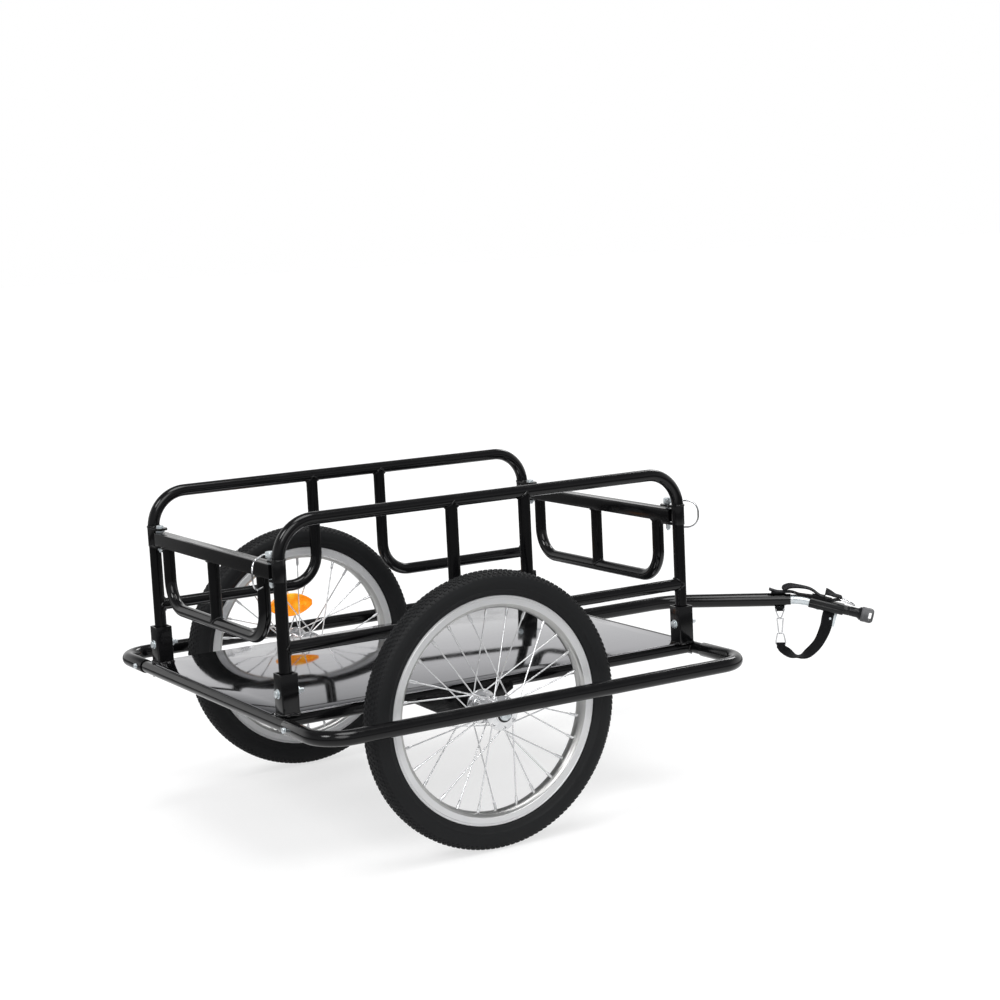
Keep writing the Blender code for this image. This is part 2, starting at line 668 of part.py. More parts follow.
def make_reflector(name, sign, amber):
    """A lens between the spokes, with two clips that reach the spokes on the wheel's inner side."""
    half_length, half_height = REFLECTOR_LENGTH / 2, REFLECTOR_HEIGHT / 2
    centre_x, centre_z = REFLECTOR_X, REFLECTOR_FROM_AXLE
    middle_y, half_thick = -sign * 0.004, REFLECTOR_THICKNESS / 2
    # two arcs that meet in a point at either end, with the points cut off square
    radius = (half_length ** 2 + half_height ** 2) / (2 * half_height)
    reach = math.asin((half_length - REFLECTOR_TIP) / radius)
    upper = arc((centre_x, centre_z + half_height - radius), radius, math.pi / 2 - reach, math.pi / 2 + reach, 8)
    outline = upper + [(2 * centre_x - x, 2 * centre_z - z) for x, z in upper]
    to_side = Matrix(((1, 0, 0, 0), (0, 0, 1, 0), (0, 1, 0, 0), (0, 0, 0, 1)))
    lens = extrude(name, outline, middle_y - half_thick, middle_y + half_thick, amber, to_side)
    # a spoke slopes by about a fifth, so a clip's far edge would meet it first
    clip_radius = 0.0022
    clearance = SPOKE_RADIUS + GAP + clip_radius * 0.22
    for point in reflector_clip_points(sign, half_length * 0.6, half_height * 0.4):
        join(lens, rod("clip", (point.x, middle_y, point.z), (point.x, point.y + sign * clearance, point.z),
                       clip_radius, sides=WIRE_SIDES))
    return lens


def reflector_clip_points(sign, reach, rise):
    """The points where inner spokes pass over the lens nearest its two ends."""
    found = []
    for index in range(SPOKES):
        start, end = spoke_line(index, sign)
        if start.y * sign > 0:
            continue
        for step in range(1, 40):
            point = start.lerp(end, step / 40)
            if abs(point.z - REFLECTOR_FROM_AXLE) < rise and abs(point.x - REFLECTOR_X) < reach:
                found.append(point)
    return [min(found, key=lambda point: point.x), max(found, key=lambda point: point.x)]


def make_wheels(materials):
    """Both wheels. Each has its own empty on the axle, which carries its pieces."""
    carriers = {}
    for sign in (1, -1):
        side = side_name(sign)
        carrier = bpy.data.objects.new(f"{side}_wheel_centre", None)
        bpy.context.scene.collection.objects.link(carrier)
        carrier.location = (0.0, sign * WHEEL_TRACK / 2, 0.0)
        pieces = [
            revolve(f"{side}_tyre", tyre_profile(), WHEEL_STEPS, materials["tyre_rubber"]),
            revolve(f"{side}_rim", rim_profile(), WHEEL_STEPS, materials["rim_alloy"]),
            make_hub(f"{side}_hub_and_spokes", sign, materials["rim_alloy"]),
        ]
        if sign > 0:
            pieces.append(make_reflector("left_wheel_reflector", sign, materials["amber_lens"]))
        for piece in pieces:
            guides = [modifier.object for modifier in piece.modifiers if modifier.type == "BOOLEAN"]
            for obj in [piece] + guides:
                obj.parent = carrier
        carriers[side] = carrier
    return carriers


# Side panels

def make_side_panels(paint, zinc):
    """On each side a hoop on two legs, with two infill tubes bent from its top rail to its legs."""
    leg_bottom = FRAME_Z + TUBE_RADIUS + GAP + 0.002
    for sign in (1, -1):
        side = side_name(sign)
        y = sign * PANEL_Y
        corners = [(REAR_LEG_X, y, leg_bottom), (REAR_LEG_X, y, TOP_Z), (FRONT_LEG_X, y, TOP_Z), (FRONT_LEG_X, y, leg_bottom)]
        hoop = tube(f"{side}_side_hoop", corners, TUBE_RADIUS, paint, bend_radius=PANEL_BEND_RADIUS)
        for leg_x, infill_x in ((REAR_LEG_X, INFILL_REAR_X), (FRONT_LEG_X, INFILL_FRONT_X)):
            start, end = leg_bolt_points(leg_x, sign)
            cut(hoop, bolt_hole(start, end))
            bolt(f"{end_name(leg_x)}_{side}_leg_bolt", start, end, zinc)
            name = f"{side}_{end_name(leg_x)}_infill_tube"
            infill = tube(name, [(infill_x, y, TOP_Z), (infill_x, y, INFILL_Z), (leg_x, y, INFILL_Z)], TUBE_RADIUS, paint,
                          bend_radius=INFILL_BEND_RADIUS)
            clear = around(TUBE_RADIUS + GAP)
            cut(infill, rod("cope", (infill_x - 0.03, y, TOP_Z), (infill_x + 0.03, y, TOP_Z), clear))
            cut(infill, rod("cope", (leg_x, y, INFILL_Z - 0.03), (leg_x, y, INFILL_Z + 0.03), clear))


# Gates

def pivot_y(sign):
    """The hinge and lock lines stand a little inside the panel legs."""
    return sign * (PANEL_Y - PIVOT_FROM_LEG)


def gate_mouth_levels():
    """Heights of the bracket's mouth, which holds the bar with a spacer on it."""
    low = GATE_BAR / 2 + GATE_PLATE_PLAY
    return GATE_Z - low, GATE_Z + low + GATE_SPACER


def gate_bracket_levels():
    low, high = gate_mouth_levels()
    return low - GATE_PLATE, high + GATE_PLATE


def make_gate_bracket(name, leg_x, sign, outward, paint):
    """A collar round a panel leg, which begins to bend there, with a plate above and a plate below the gate's bar.

    On the left the plates have round holes for the hinge bolt. On the right they are open to the outside,
    and the lock pin comes to rest against their edge.
    """
    collar = TUBE_RADIUS + GAP + COLLAR_WALL
    reach = PIVOT_FROM_LEG
    end = GATE_PLATE_END_RADIUS
    # drawn with the leg at the middle and the pivot at +x, then turned towards the trailer's middle
    outline = arc((0, 0), collar, math.pi / 2, 1.5 * math.pi, 6)
    outline += arc((reach, 0), end, -math.pi / 2, math.pi / 2, 5)
    turn = Matrix.Translation((leg_x, sign * PANEL_Y, 0.0)) @ Matrix.Rotation(-sign * math.pi / 2, 4, "Z")
    bracket = extrude(name, outline, *gate_bracket_levels(), paint, turn)
    # the bar swings close to the collar, so the mouth's back is round
    back = arc((0, 0), collar, math.pi / 2, -math.pi / 2, 6)
    mouth = extrude("mouth", back + [(0, -0.05), (0.08, -0.05), (0.08, 0.05), (0, 0.05)], *gate_mouth_levels(), None, turn)
    cut(bracket, mouth)
    cut(bracket, rod("leg", (leg_x, sign * PANEL_Y, GATE_Z - 0.03), (leg_x, sign * PANEL_Y, GATE_Z + 0.03),
                     around(TUBE_RADIUS + GAP * 2)))
    y = pivot_y(sign)
    if sign > 0:
        cut(bracket, rod("pivot", (leg_x, y, GATE_Z - 0.03), (leg_x, y, GATE_Z + 0.03),
                         around(PIVOT_RADIUS + GAP), sides=TUBE_SIDES))
    else:
        # open from the pin's inner side outwards
        stop = leg_x - outward * (LOCK_PIN_RADIUS + GAP)
        low_x, high_x = sorted((stop, leg_x + outward * 0.05))
        far = -PANEL_Y + collar + 0.0005
        cut(bracket, box("opening", (low_x, far, GATE_Z - 0.03), (high_x, y + 0.03, GATE_Z + 0.03)))
    return bracket


def make_gate(leg_x, outward, paint):
    """The square bar and the looped tube under it. The left end of the bar is rounded to turn by the leg."""
    end = end_name(leg_x)
    half = GATE_BAR / 2
    left, right = pivot_y(1), pivot_y(-1)
    outline = arc((leg_x, left), half, 0, math.pi, 6) + [(leg_x - half, right - half), (leg_x + half, right - half)]
    bar = extrude(f"{end}_gate_bar", outline, GATE_Z - half, GATE_Z + half, paint)
    for y, radius in ((left, PIVOT_RADIUS), (right, LOCK_PIN_RADIUS)):
        cut(bar, rod("hole", (leg_x, y, GATE_Z - 0.02), (leg_x, y, GATE_Z + 0.02), around(radius + GAP)))
    top = GATE_Z - half - GAP
    low = GATE_Z - GATE_TUBE_DROP
    loop = tube(f"{end}_gate_loop", [(leg_x, GATE_TUBE_Y, top), (leg_x, GATE_TUBE_Y, low), (leg_x, -GATE_TUBE_Y, low),
                                     (leg_x, -GATE_TUBE_Y, top)], TUBE_RADIUS, paint, bend_radius=GATE_BEND_RADIUS,
                across=(1, 0, 0))
    middle = rod("middle", (leg_x, 0.0, top), (leg_x, 0.0, low), TUBE_RADIUS * 0.98)
    join(loop, middle)


def make_pivot_bolt(leg_x, zinc):
    """The bolt that a gate swings on, with the spacer over the gate's bar."""
    low, high = gate_bracket_levels()
    y = pivot_y(1)
    pivot = bolt(f"{end_name(leg_x)}_gate_hinge_bolt", (leg_x, y, high), (leg_x, y, low), zinc, radius=PIVOT_RADIUS)
    join(pivot, rod("spacer", (leg_x, y, GATE_Z + GATE_BAR / 2 + GATE_PLATE_PLAY), (leg_x, y, high - GATE_PLATE - GAP),
                    SPACER_RADIUS))


def bow_directions(outward):
    """The bow's outward direction, and the direction in which it stands off from the pin, away from the leg."""
    out = Vector((outward, -1, 0)).normalized()
    off = Vector((outward, 1, 0)).normalized()
    return out, off


def lock_pin_levels():
    """Heights of the lock pin's head hole, head bottom, head top and tip."""
    low, high = gate_bracket_levels()
    under_head = high + GAP
    return under_head + LOCK_PIN_HEAD_HEIGHT / 2, under_head, under_head + LOCK_PIN_HEAD_HEIGHT, low - LOCK_PIN_TIP


def make_lock_pin(leg_x, outward, zinc, chrome):
    """The pin that locks a gate, and the wire bow that it is pulled by."""
    end = end_name(leg_x)
    y = pivot_y(-1)
    eye_z, under_head, head_top, tip = lock_pin_levels()
    pin = revolve(f"{end}_lock_pin", [(0, head_top - GATE_Z), (LOCK_PIN_HEAD_RADIUS, head_top - GATE_Z),
                                      (LOCK_PIN_HEAD_RADIUS, under_head - GATE_Z), (LOCK_PIN_RADIUS, under_head - GATE_Z),
                                      (LOCK_PIN_RADIUS, tip + 0.003 - GATE_Z), (LOCK_PIN_RADIUS * 0.5, tip - GATE_Z),
                                      (0, tip - GATE_Z)], TUBE_SIDES, zinc, closed=False)
    # turned round Y above, so it is stood upright here
    pin.data.transform(Matrix.Translation((leg_x, y, GATE_Z)) @ Matrix.Rotation(math.pi / 2, 4, "X"))
    out, off = bow_directions(outward)
    centre = Vector((leg_x, y, eye_z))
    cut(pin, rod("eye", centre - off * 0.01, centre + off * 0.01, around(WIRE_RADIUS + GAP, WIRE_SIDES), sides=WIRE_SIDES))
    start = centre - off * (LOCK_PIN_HEAD_RADIUS + 0.0015)
    plane = centre + off * BOW_OFFSET
    low = tip + WIRE_RADIUS - eye_z
    corners = [start, plane, plane + out * BOW_REACH, plane + out * BOW_REACH + Vector((0, 0, low)),
               plane + out * BOW_END_REACH + Vector((0, 0, low))]
    # the bow's first bend is tight, at the pin; its outer corners are wide
    points = rounded_path(corners[:3], 0.0026)[:-1] + rounded_path([corners[1]] + corners[2:], BOW_CORNER_RADIUS)[1:]
    sweep(f"{end}_lock_bow", points, circle_section(WIRE_RADIUS, WIRE_SIDES), chrome, across=out)


# Drawbar and hitch

HEADING = Vector((math.cos(DRAWBAR_ANGLE), -math.sin(DRAWBAR_ANGLE), 0.0))
SIDEWAYS = Vector((math.sin(DRAWBAR_ANGLE), math.cos(DRAWBAR_ANGLE), 0.0))
UP = Vector((0.0, 0.0, 1.0))


def drawbar_z():
    """The drawbar lies in a receiver that hangs right under the cross tubes."""
    return FRAME_Z - TUBE_RADIUS - GAP / 3 - (DRAWBAR_RADIUS + GAP + RECEIVER_WALL)


def hitch_start():
    """The middle of the drawbar's front end."""
    return Vector((DRAWBAR_KNEE_X, DRAWBAR_Y, drawbar_z())) + HEADING * DRAWBAR_REACH


def at_hitch(along, up=0.0, sideways=0.0):
    """A point given along the drawbar's heading from its front end, above its middle, and to its left."""
    return hitch_start() + HEADING * along + UP * up + SIDEWAYS * sideways


def on_sleeve(along, up=0.0):
    """A point along the sleeve's bend from the drawbar's front end, and above its middle."""
    radius = SLEEVE_LENGTH / COUPLER_PITCH
    turned = along / radius
    return at_hitch((radius + up) * math.sin(turned), (radius + up) * math.cos(turned) - radius)


def coupler_matrix():
    """The coupler's frame: +X ahead along it and tipped down, +Y to its left. Ahead counts as from the drawbar."""
    ahead = HEADING * math.cos(COUPLER_PITCH) - UP * math.sin(COUPLER_PITCH)
    up = HEADING * math.sin(COUPLER_PITCH) + UP * math.cos(COUPLER_PITCH)
    place = Matrix((ahead, SIDEWAYS, up)).transposed().to_4x4()
    return Matrix.Translation(on_sleeve(SLEEVE_LENGTH) - ahead * SLEEVE_LENGTH) @ place


def along_coupler(mesh_object):
    """Puts a piece that was turned round Y onto the coupler's own axis."""
    mesh_object.data.transform(coupler_matrix() @ Matrix.Rotation(-math.pi / 2, 4, "Z"))
    return mesh_object


def make_drawbar(paint, zinc):
    """The receiver tube under the frame, the bent drawbar in it and the bolt through both."""
    z = drawbar_z()
    bore = DRAWBAR_RADIUS + GAP
    receiver = tube("drawbar_receiver", [(RECEIVER_START_X, DRAWBAR_Y, z), (RECEIVER_END_X, DRAWBAR_Y, z)],
                    bore + RECEIVER_WALL, paint, RECEIVER_WALL)
    drawbar = tube("drawbar", [(DRAWBAR_START_X, DRAWBAR_Y, z), (DRAWBAR_KNEE_X, DRAWBAR_Y, z), hitch_start()],
                   DRAWBAR_RADIUS, paint, bend_radius=DRAWBAR_BEND_RADIUS)
    cut(drawbar, tube("bore", [at_hitch(-SLEEVE_INSERT - 0.003), at_hitch(0.01)], SLEEVE_RADIUS + GAP, None,
                      across=tuple(SIDEWAYS)))
    start = Vector((DRAWBAR_BOLT_X, DRAWBAR_Y, z - bore - RECEIVER_WALL))
    end = Vector((DRAWBAR_BOLT_X, DRAWBAR_Y, z + bore + RECEIVER_WALL))
    for piece in (receiver, drawbar):
        cut(piece, bolt_hole(start, end))
    bolt("drawbar_bolt", start, end, zinc)
    cut(drawbar, strap_rivet_hole())


def strap_rivet_hole():
    """Cuts room for the strap's rivet through the drawbar or the sleeve in it."""
    return rod("rivet_hole", at_hitch(EYE_S, -0.02), at_hitch(EYE_S, 0.02), around(STRAP_RIVET_RADIUS + GAP, 8), sides=8)


def make_coupler(materials):
    """The bent zinc sleeve, the clamp block with its neck, and the swivelling cap on its end."""
    bend = [on_sleeve(SLEEVE_LENGTH * i / 4) for i in range(5)]
    sleeve = sweep("coupler_sleeve", [at_hitch(-SLEEVE_INSERT)] + bend + [on_coupler(SLEEVE_LENGTH + 0.0195, 0.0)],
                   circle_section(SLEEVE_RADIUS), materials["zinc"], across=tuple(SIDEWAYS))
    cut(sleeve, strap_rivet_hole())
    half_width, half_height, edge = BLOCK_WIDTH / 2, BLOCK_HEIGHT / 2, BLOCK_EDGE
    groove = [(half_width - BLOCK_GROOVE, 0.0), (half_width, BLOCK_GROOVE), (half_width, half_height - edge),
              (half_width - edge, half_height)]
    right = [(x, -y) for x, y in reversed(groove[1:])] + groove
    section = right + [(-x, y) for x, y in reversed(right)]
    # section points are (sideways, up); the prism is drawn along the coupler
    to_world = coupler_matrix() @ Matrix(((0, 0, 1, 0), (1, 0, 0, 0), (0, 1, 0, 0), (0, 0, 0, 1)))
    block = extrude("coupler_block", section, SLEEVE_LENGTH, SLEEVE_LENGTH + BLOCK_LENGTH, materials["black_block"],
                    to_world)
    neck_start = SLEEVE_LENGTH + BLOCK_LENGTH
    neck_end = neck_start + NECK_LENGTH
    shank_end = neck_end + CAP_BORE_DEPTH - 0.001
    flare, flare_radius = NECK_FLARE
    neck = revolve("neck", [(0, neck_start - 0.004), (half_height * 0.92, neck_start - 0.004),
                            (half_height * 0.98, neck_start + 0.003), (NECK_RADIUS, neck_end - flare),
                            (flare_radius, neck_end - 0.001), (CAP_SHANK_RADIUS, neck_end - 0.001),
                            (CAP_SHANK_RADIUS, shank_end), (0, shank_end)],
                   16, None, closed=False)
    join(block, along_coupler(neck))
    cut(block, rod("socket", coupler_matrix() @ Vector((SLEEVE_LENGTH - 0.01, 0, 0)),
                   coupler_matrix() @ Vector((SLEEVE_LENGTH + 0.0198, 0, 0)), around(SLEEVE_RADIUS + GAP)))
    cap_end = neck_end + CAP_LENGTH
    bore = around(CAP_SHANK_RADIUS + GAP, 16)
    cap = revolve("hitch_cap", [(0, neck_end + CAP_BORE_DEPTH), (bore, neck_end + CAP_BORE_DEPTH), (bore, neck_end),
                                (CAP_RADIUS * 0.82, neck_end), (CAP_RADIUS, neck_end + 0.004),
                                (CAP_RADIUS, cap_end - 0.005), (CAP_RADIUS * 0.78, cap_end), (0, cap_end)],
                  16, materials["grey_plastic"], closed=False)
    along_coupler(cap)
    slot_x = cap_end - CAP_SLOT_FROM_END
    length, height = CAP_SLOT
    slot = box("slot", (slot_x - length / 2, -0.03, -height / 2), (slot_x + length / 2, 0.03, height / 2))
    slot.data.transform(coupler_matrix())
    cut(cap, slot)
    return sleeve, block, cap


def ribbon(name, points, across_list, finish, widths=None):
    """Flat webbing along a path. Each point has the direction its width lies in, and may have its own width."""
    mesh = bmesh.new()
    rings = []
    half = STRAP_THICKNESS / 2
    for i, (point, across) in enumerate(zip(points, across_list)):
        before = points[max(i - 1, 0)]
        after = points[min(i + 1, len(points) - 1)]
        along = (after - before).normalized()
        across = (across - along * across.dot(along)).normalized()
        normal = across.cross(along)
        side = (widths[i] if widths else STRAP_WIDTH) / 2
        rings.append([mesh.verts.new(point + across * x + normal * y)
                      for x, y in ((-side, -half), (side, -half), (side, half), (-side, half))])
    for ring, following in zip(rings, rings[1:]):
        for i in range(4):
            j = (i + 1) % 4
            mesh.faces.new((ring[i], ring[j], following[j], following[i]))
    mesh.faces.new(rings[0])
    mesh.faces.new(rings[-1])
    return add_object(name, mesh, finish)


def smooth_path(points, steps):
    """A smooth curve through the points, with this many steps between each two."""
    made = []
    padded = [points[0] * 2 - points[1]] + list(points) + [points[-1] * 2 - points[-2]]
    for a, b, c, d in zip(padded, padded[1:], padded[2:], padded[3:]):
        for step in range(steps):
            t = step / steps
            made.append(0.5 * (b * 2 + (c - a) * t + (a * 2 - b * 5 + c * 4 - d) * t * t
                               + (b * 3 - a - c * 3 + d) * t * t * t))
    return made + [points[-1].copy()]


def on_coupler(ahead, up, sideways=0.0):
    """A point in the coupler's own pitched frame."""
    return coupler_matrix() @ Vector((ahead, sideways, up))


def strap_ring_ends():
    """The middles of the ring's two cross wires: by the strap's fold, and over the neck."""
    return on_coupler(*RING_FOLD), on_coupler(RING_TIP, NECK_RADIUS + RING_LIFT)


def fold_radius(wire):
    """How far a strap's middle lies from the middle of the wire it is folded round."""
    return wire + STRAP_THICKNESS / 2 + GAP * 2


def twisted(points, degrees):
    """For each point of a path that stands over the hitch, the direction of the strap's width."""
    across_list = []
    for i, angle in enumerate(degrees):
        along = (points[min(i + 1, len(points) - 1)] - points[max(i - 1, 0)]).normalized()
        turn = math.radians(angle)
        across_list.append(SIDEWAYS * math.cos(turn) + along.cross(SIDEWAYS).normalized() * math.sin(turn))
    return across_list


def halfway(values):
    """The values with their means between them, for a path that has two steps between each two points."""
    made = []
    for value, following in zip(values, values[1:]):
        made += [value, (value + following) / 2]
    return made + [values[-1]]


def make_coupler_strap(webbing):
    """The layers on the drawbar, sleeve and block, the loose arch and tails, and the fold that holds the hook."""
    half = STRAP_THICKNESS / 2
    top = DRAWBAR_RADIUS + GAP + half
    over_sleeve = SLEEVE_RADIUS + GAP + half
    on_block = BLOCK_HEIGHT / 2 + GAP + half
    layer = STRAP_THICKNESS - STRAP_LIFT
    wire, _ = strap_ring_ends()
    turn = fold_radius(RING_WIRE)
    out, up = on_coupler(1, 0) - on_coupler(0, 0), on_coupler(0, 1) - on_coupler(0, 0)
    first, second, third = LAYER_ON_COUPLER
    lower = [at_hitch(STRAP_START, top), at_hitch(STRAP_START / 2, top), at_hitch(STRAP_LIFT * 4, top),
             on_sleeve(0.013, over_sleeve + STRAP_LIFT * 2), on_sleeve(0.024, over_sleeve + STRAP_LIFT),
             on_coupler(first, on_block), on_coupler(second, on_block),
             on_coupler(third, on_block + STRAP_LIFT), on_coupler(*LAYER_END)]
    fold = [wire + out * (turn * math.sin(angle)) + up * (turn * math.cos(angle))
            for angle in [math.radians(degrees) for degrees in (200, 160, 120, 80, 40, 0)]]
    curve = smooth_path(lower, 2) + fold
    tail = smooth_path([fold[-1]] + [on_coupler(*point[:2]) for point in TAIL_ROUTE], 2)[1:]
    twist = halfway([0] + [point[2] for point in TAIL_ROUTE])[1:]
    strap = ribbon("coupler_strap", curve + tail, [SIDEWAYS] * len(curve) + twisted(tail, twist), webbing)
    # each layer is a little narrower than the one it is sewn to, so that no two sides lie in one plane
    pad = [on_coupler(ahead, on_block + layer) for ahead in PAD]
    join(strap, ribbon("pad", pad, [SIDEWAYS] * 2, None, [STRAP_WIDTH - STRAP_LIFT * 6] * 2))
    over, down = ARCH_LANDING
    arch = [at_hitch(-STRAP_LIFT * 3, top + STRAP_LIFT)] + [at_hitch(*point[:2]) for point in ARCH_ROUTE]
    arch += [on_coupler(ahead, on_block + layer * 2) for ahead in (over, down)]
    curve = smooth_path(arch, 2)
    twist = halfway([0] + [point[2] for point in ARCH_ROUTE] + [0, 0])
    join(strap, ribbon("arch", curve, twisted(curve, twist), None, [STRAP_WIDTH - STRAP_LIFT * 2] * len(curve)))
    near, far = FLAP_SEWN
    flap = smooth_path([at_hitch(near, top + STRAP_LIFT), at_hitch(far, top + STRAP_LIFT * 3)]
                       + [at_hitch(*point) for point in FLAP_ROUTE], 2)
    join(strap, ribbon("flap", flap, [SIDEWAYS] * len(flap), None, [STRAP_WIDTH - STRAP_LIFT * 4] * len(flap)))
    # a rivet through the drawbar holds a patch under it, and the patch's fold the snap hook
    join(strap, rod("rivet", at_hitch(EYE_S, top), at_hitch(EYE_S, -top), STRAP_RIVET_RADIUS, sides=8))
    length, width = PATCH
    join(strap, ribbon("patch", [at_hitch(EYE_S - length / 2, -top), at_hitch(EYE_S + length / 2, -top)],
                       [SIDEWAYS] * 2, None, [width] * 2))
    turn = fold_radius(HOOK_WIRE)
    fold = [at_hitch(EYE_S, -top, -turn)]
    fold += [at_hitch(EYE_S, HOOK_TOP - turn * math.sin(angle), -turn * math.cos(angle))
             for angle in [math.radians(degrees) for degrees in (0, 36, 72, 108, 144, 180)]]
    fold.append(at_hitch(EYE_S, -top, turn))
    join(strap, ribbon("hook_fold", fold, [HEADING] * len(fold), None, [HOOK_FOLD_WIDTH] * len(fold)))


def make_safety_strap(webbing):
    """The loop below the joint: from the tab under the block, twisting on its way, to the snap hook's ring."""
    turn = fold_radius(HOOK_WIRE)
    top, below, drop = LOOP_TOP
    loop = [on_coupler(top, -BLOCK_HEIGHT / 2 - GAP * 4), on_coupler(below, -drop)]
    loop += [at_hitch(*point[:2]) for point in LOOP_ROUTE]
    loop.append(at_hitch(EYE_S + 0.0020, HOOK_RING_Z - 0.0060, -turn))
    fold = [at_hitch(EYE_S, HOOK_RING_Z + turn * math.sin(angle), -turn * math.cos(angle))
            for angle in [math.radians(degrees) for degrees in (0, 30, 75, 105, 150, 180)]]
    fold.append(at_hitch(EYE_S, HOOK_RING_Z - 0.0070, turn))
    curve = smooth_path(loop, 2)
    # these twists are counted from the strap's underside, so they run the other way
    twist = halfway([-90, -90] + [-point[2] for point in LOOP_ROUTE] + [-90])
    widths = halfway([STRAP_WIDTH] * (len(loop) - 4) + [0.0190, 0.0175, 0.0155, STRAP_END_WIDTH])
    across_list = twisted(curve, twist) + [HEADING] * len(fold)
    widths += [STRAP_END_WIDTH] * len(fold)
    strap = ribbon("safety_strap", curve + fold, across_list, webbing, widths)
    cut(strap, rod("rivet_hole", on_coupler(*RIVET, -0.01), on_coupler(*RIVET, 0.01), 0.0026, sides=WIRE_SIDES))


def closed_wire(name, corners, radius, corner_radius, finish, across):
    """A ring of wire through rounded corners."""
    corners = [Vector(corner) for corner in corners]
    middle = (corners[-1] + corners[0]) / 2
    points = rounded_path([middle] + corners + [middle], corner_radius, math.radians(45))[:-1]
    mesh = bmesh.new()
    rings = []
    count = len(points)
    side = Vector(across)
    for i, point in enumerate(points):
        along = (points[(i + 1) % count] - points[i - 1]).normalized()
        up = side.cross(along)
        rings.append([mesh.verts.new(point + side * x + up * y) for x, y in circle_section(radius, RING_SIDES)])
    for i in range(count):
        ring, following = rings[i], rings[(i + 1) % count]
        for k in range(RING_SIDES):
            j = (k + 1) % RING_SIDES
            mesh.faces.new((ring[k], ring[j], following[j], following[k]))
    return add_object(name, mesh, finish)


def make_hitch_fittings(materials):
    """The snap hook in the strap's fold, the tab under the block and the ring in the strap's fold."""
    chrome = materials["chrome"]

    def loop(name, top, bottom, top_half, bottom_half, corner, wire, finish=None):
        corners = [at_hitch(EYE_S - top_half, top), at_hitch(EYE_S + top_half, top),
                   at_hitch(EYE_S + bottom_half, bottom), at_hitch(EYE_S - bottom_half, bottom)]
        return closed_wire(name, corners, wire, corner, finish, SIDEWAYS)

    # the wires differ a little, so that no two of their faces lie in one plane where they are welded
    hook = loop("snap_hook", HOOK_TOP, -0.0330, 0.0084, 0.0020, 0.0016, HOOK_WIRE, chrome)
    join(hook, loop("hook_body", -0.0324, -0.0600, 0.0054, 0.0030, 0.0025, HOOK_WIRE * 0.93))
    join(hook, loop("hook_ring", -0.0592, HOOK_RING_Z, 0.0050, 0.0090, 0.0018, HOOK_WIRE * 0.97))
    near, far = strap_ring_ends()
    half = RING_HALF_WIDTH
    inner = near.lerp(far, 0.55)
    plane = (far - near).normalized().cross(SIDEWAYS)
    closed_wire("strap_ring", [near - SIDEWAYS * half, near + SIDEWAYS * half, inner + SIDEWAYS * half,
                               far + SIDEWAYS * half * 0.35, far - SIDEWAYS * half * 0.35, inner - SIDEWAYS * half],
                RING_WIRE, 0.0030, chrome, plane)
    start, end, hang = STRAP_TAB
    top = -BLOCK_HEIGHT / 2 - GAP
    half = STRAP_THICKNESS / 2 + GAP
    tab = box("strap_tab", (start, half, top - hang), (end, half + TAB_THICKNESS, top), materials["zinc"])
    tab.data.transform(coupler_matrix())
    join(tab, rod("rivet", on_coupler(*RIVET, half + TAB_THICKNESS / 2), on_coupler(*RIVET, -half - 0.001), 0.0020,
                  sides=WIRE_SIDES))
    join(tab, rod("rivet_head", on_coupler(*RIVET, -half), on_coupler(*RIVET, -half - 0.0018), 0.0038,
                  sides=WIRE_SIDES))


# Assembly

def settle_origin(carriers):
    """Hangs every piece on one empty and moves it, so the origin is under the middle of the whole trailer."""
    bpy.context.view_layer.update()
    nodes = [obj for obj in bpy.context.scene.objects if obj.type == "MESH" and not obj.hide_render]
    corners = [obj.matrix_world @ vertex.co for obj in nodes for vertex in obj.data.vertices]
    low = Vector([min(corner[axis] for corner in corners) for axis in range(3)])
    high = Vector([max(corner[axis] for corner in corners) for axis in range(3)])
    axle_centre = bpy.data.objects.new("axle_centre", None)
    bpy.context.scene.collection.objects.link(axle_centre)
    axle_centre.location = (-(low.x + high.x) / 2, -(low.y + high.y) / 2, -low.z)
    for obj in bpy.context.scene.objects:
        if obj is not axle_centre and obj.parent is None:
            obj.parent = axle_centre


def main():
    for obj in list(bpy.data.objects):
        bpy.data.objects.remove(obj, do_unlink=True)
    materials = make_materials()
    paint, zinc, chrome = materials["black_paint"], materials["zinc"], materials["chrome"]
    make_deck_frame(paint, zinc)
    make_deck_plate(materials["deck_metal"])
    make_post_sockets(paint)
    make_axle_brackets(paint)
    make_axles(zinc)
    carriers = make_wheels(materials)
    make_side_panels(paint, zinc)
    for leg_x, outward in ((REAR_LEG_X, -1), (FRONT_LEG_X, 1)):
        make_gate_bracket(f"{end_name(leg_x)}_gate_hinge_bracket", leg_x, 1, outward, paint)
        make_gate_bracket(f"{end_name(leg_x)}_gate_catch", leg_x, -1, outward, paint)
        make_gate(leg_x, outward, paint)
        make_pivot_bolt(leg_x, zinc)
        make_lock_pin(leg_x, outward, zinc, chrome)
    make_drawbar(paint, zinc)
    make_coupler(materials)
    make_coupler_strap(materials["webbing"])
    make_safety_strap(materials["webbing"])
    make_hitch_fittings(materials)
    settle_origin(carriers)


main()
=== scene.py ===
"""Looks of a bicycle cargo trailer: tube frame, sheet deck, two wire wheels, swinging gates and a strap hitch.

Lengths are in metres. Pieces are placed from the middle of the wheel axle, +X to the hitch, +Y to the left and
+Z up, and place() moves them to where the CAD model has that point.
"""
import math

import bpy
from mathutils import Matrix, Vector, noise


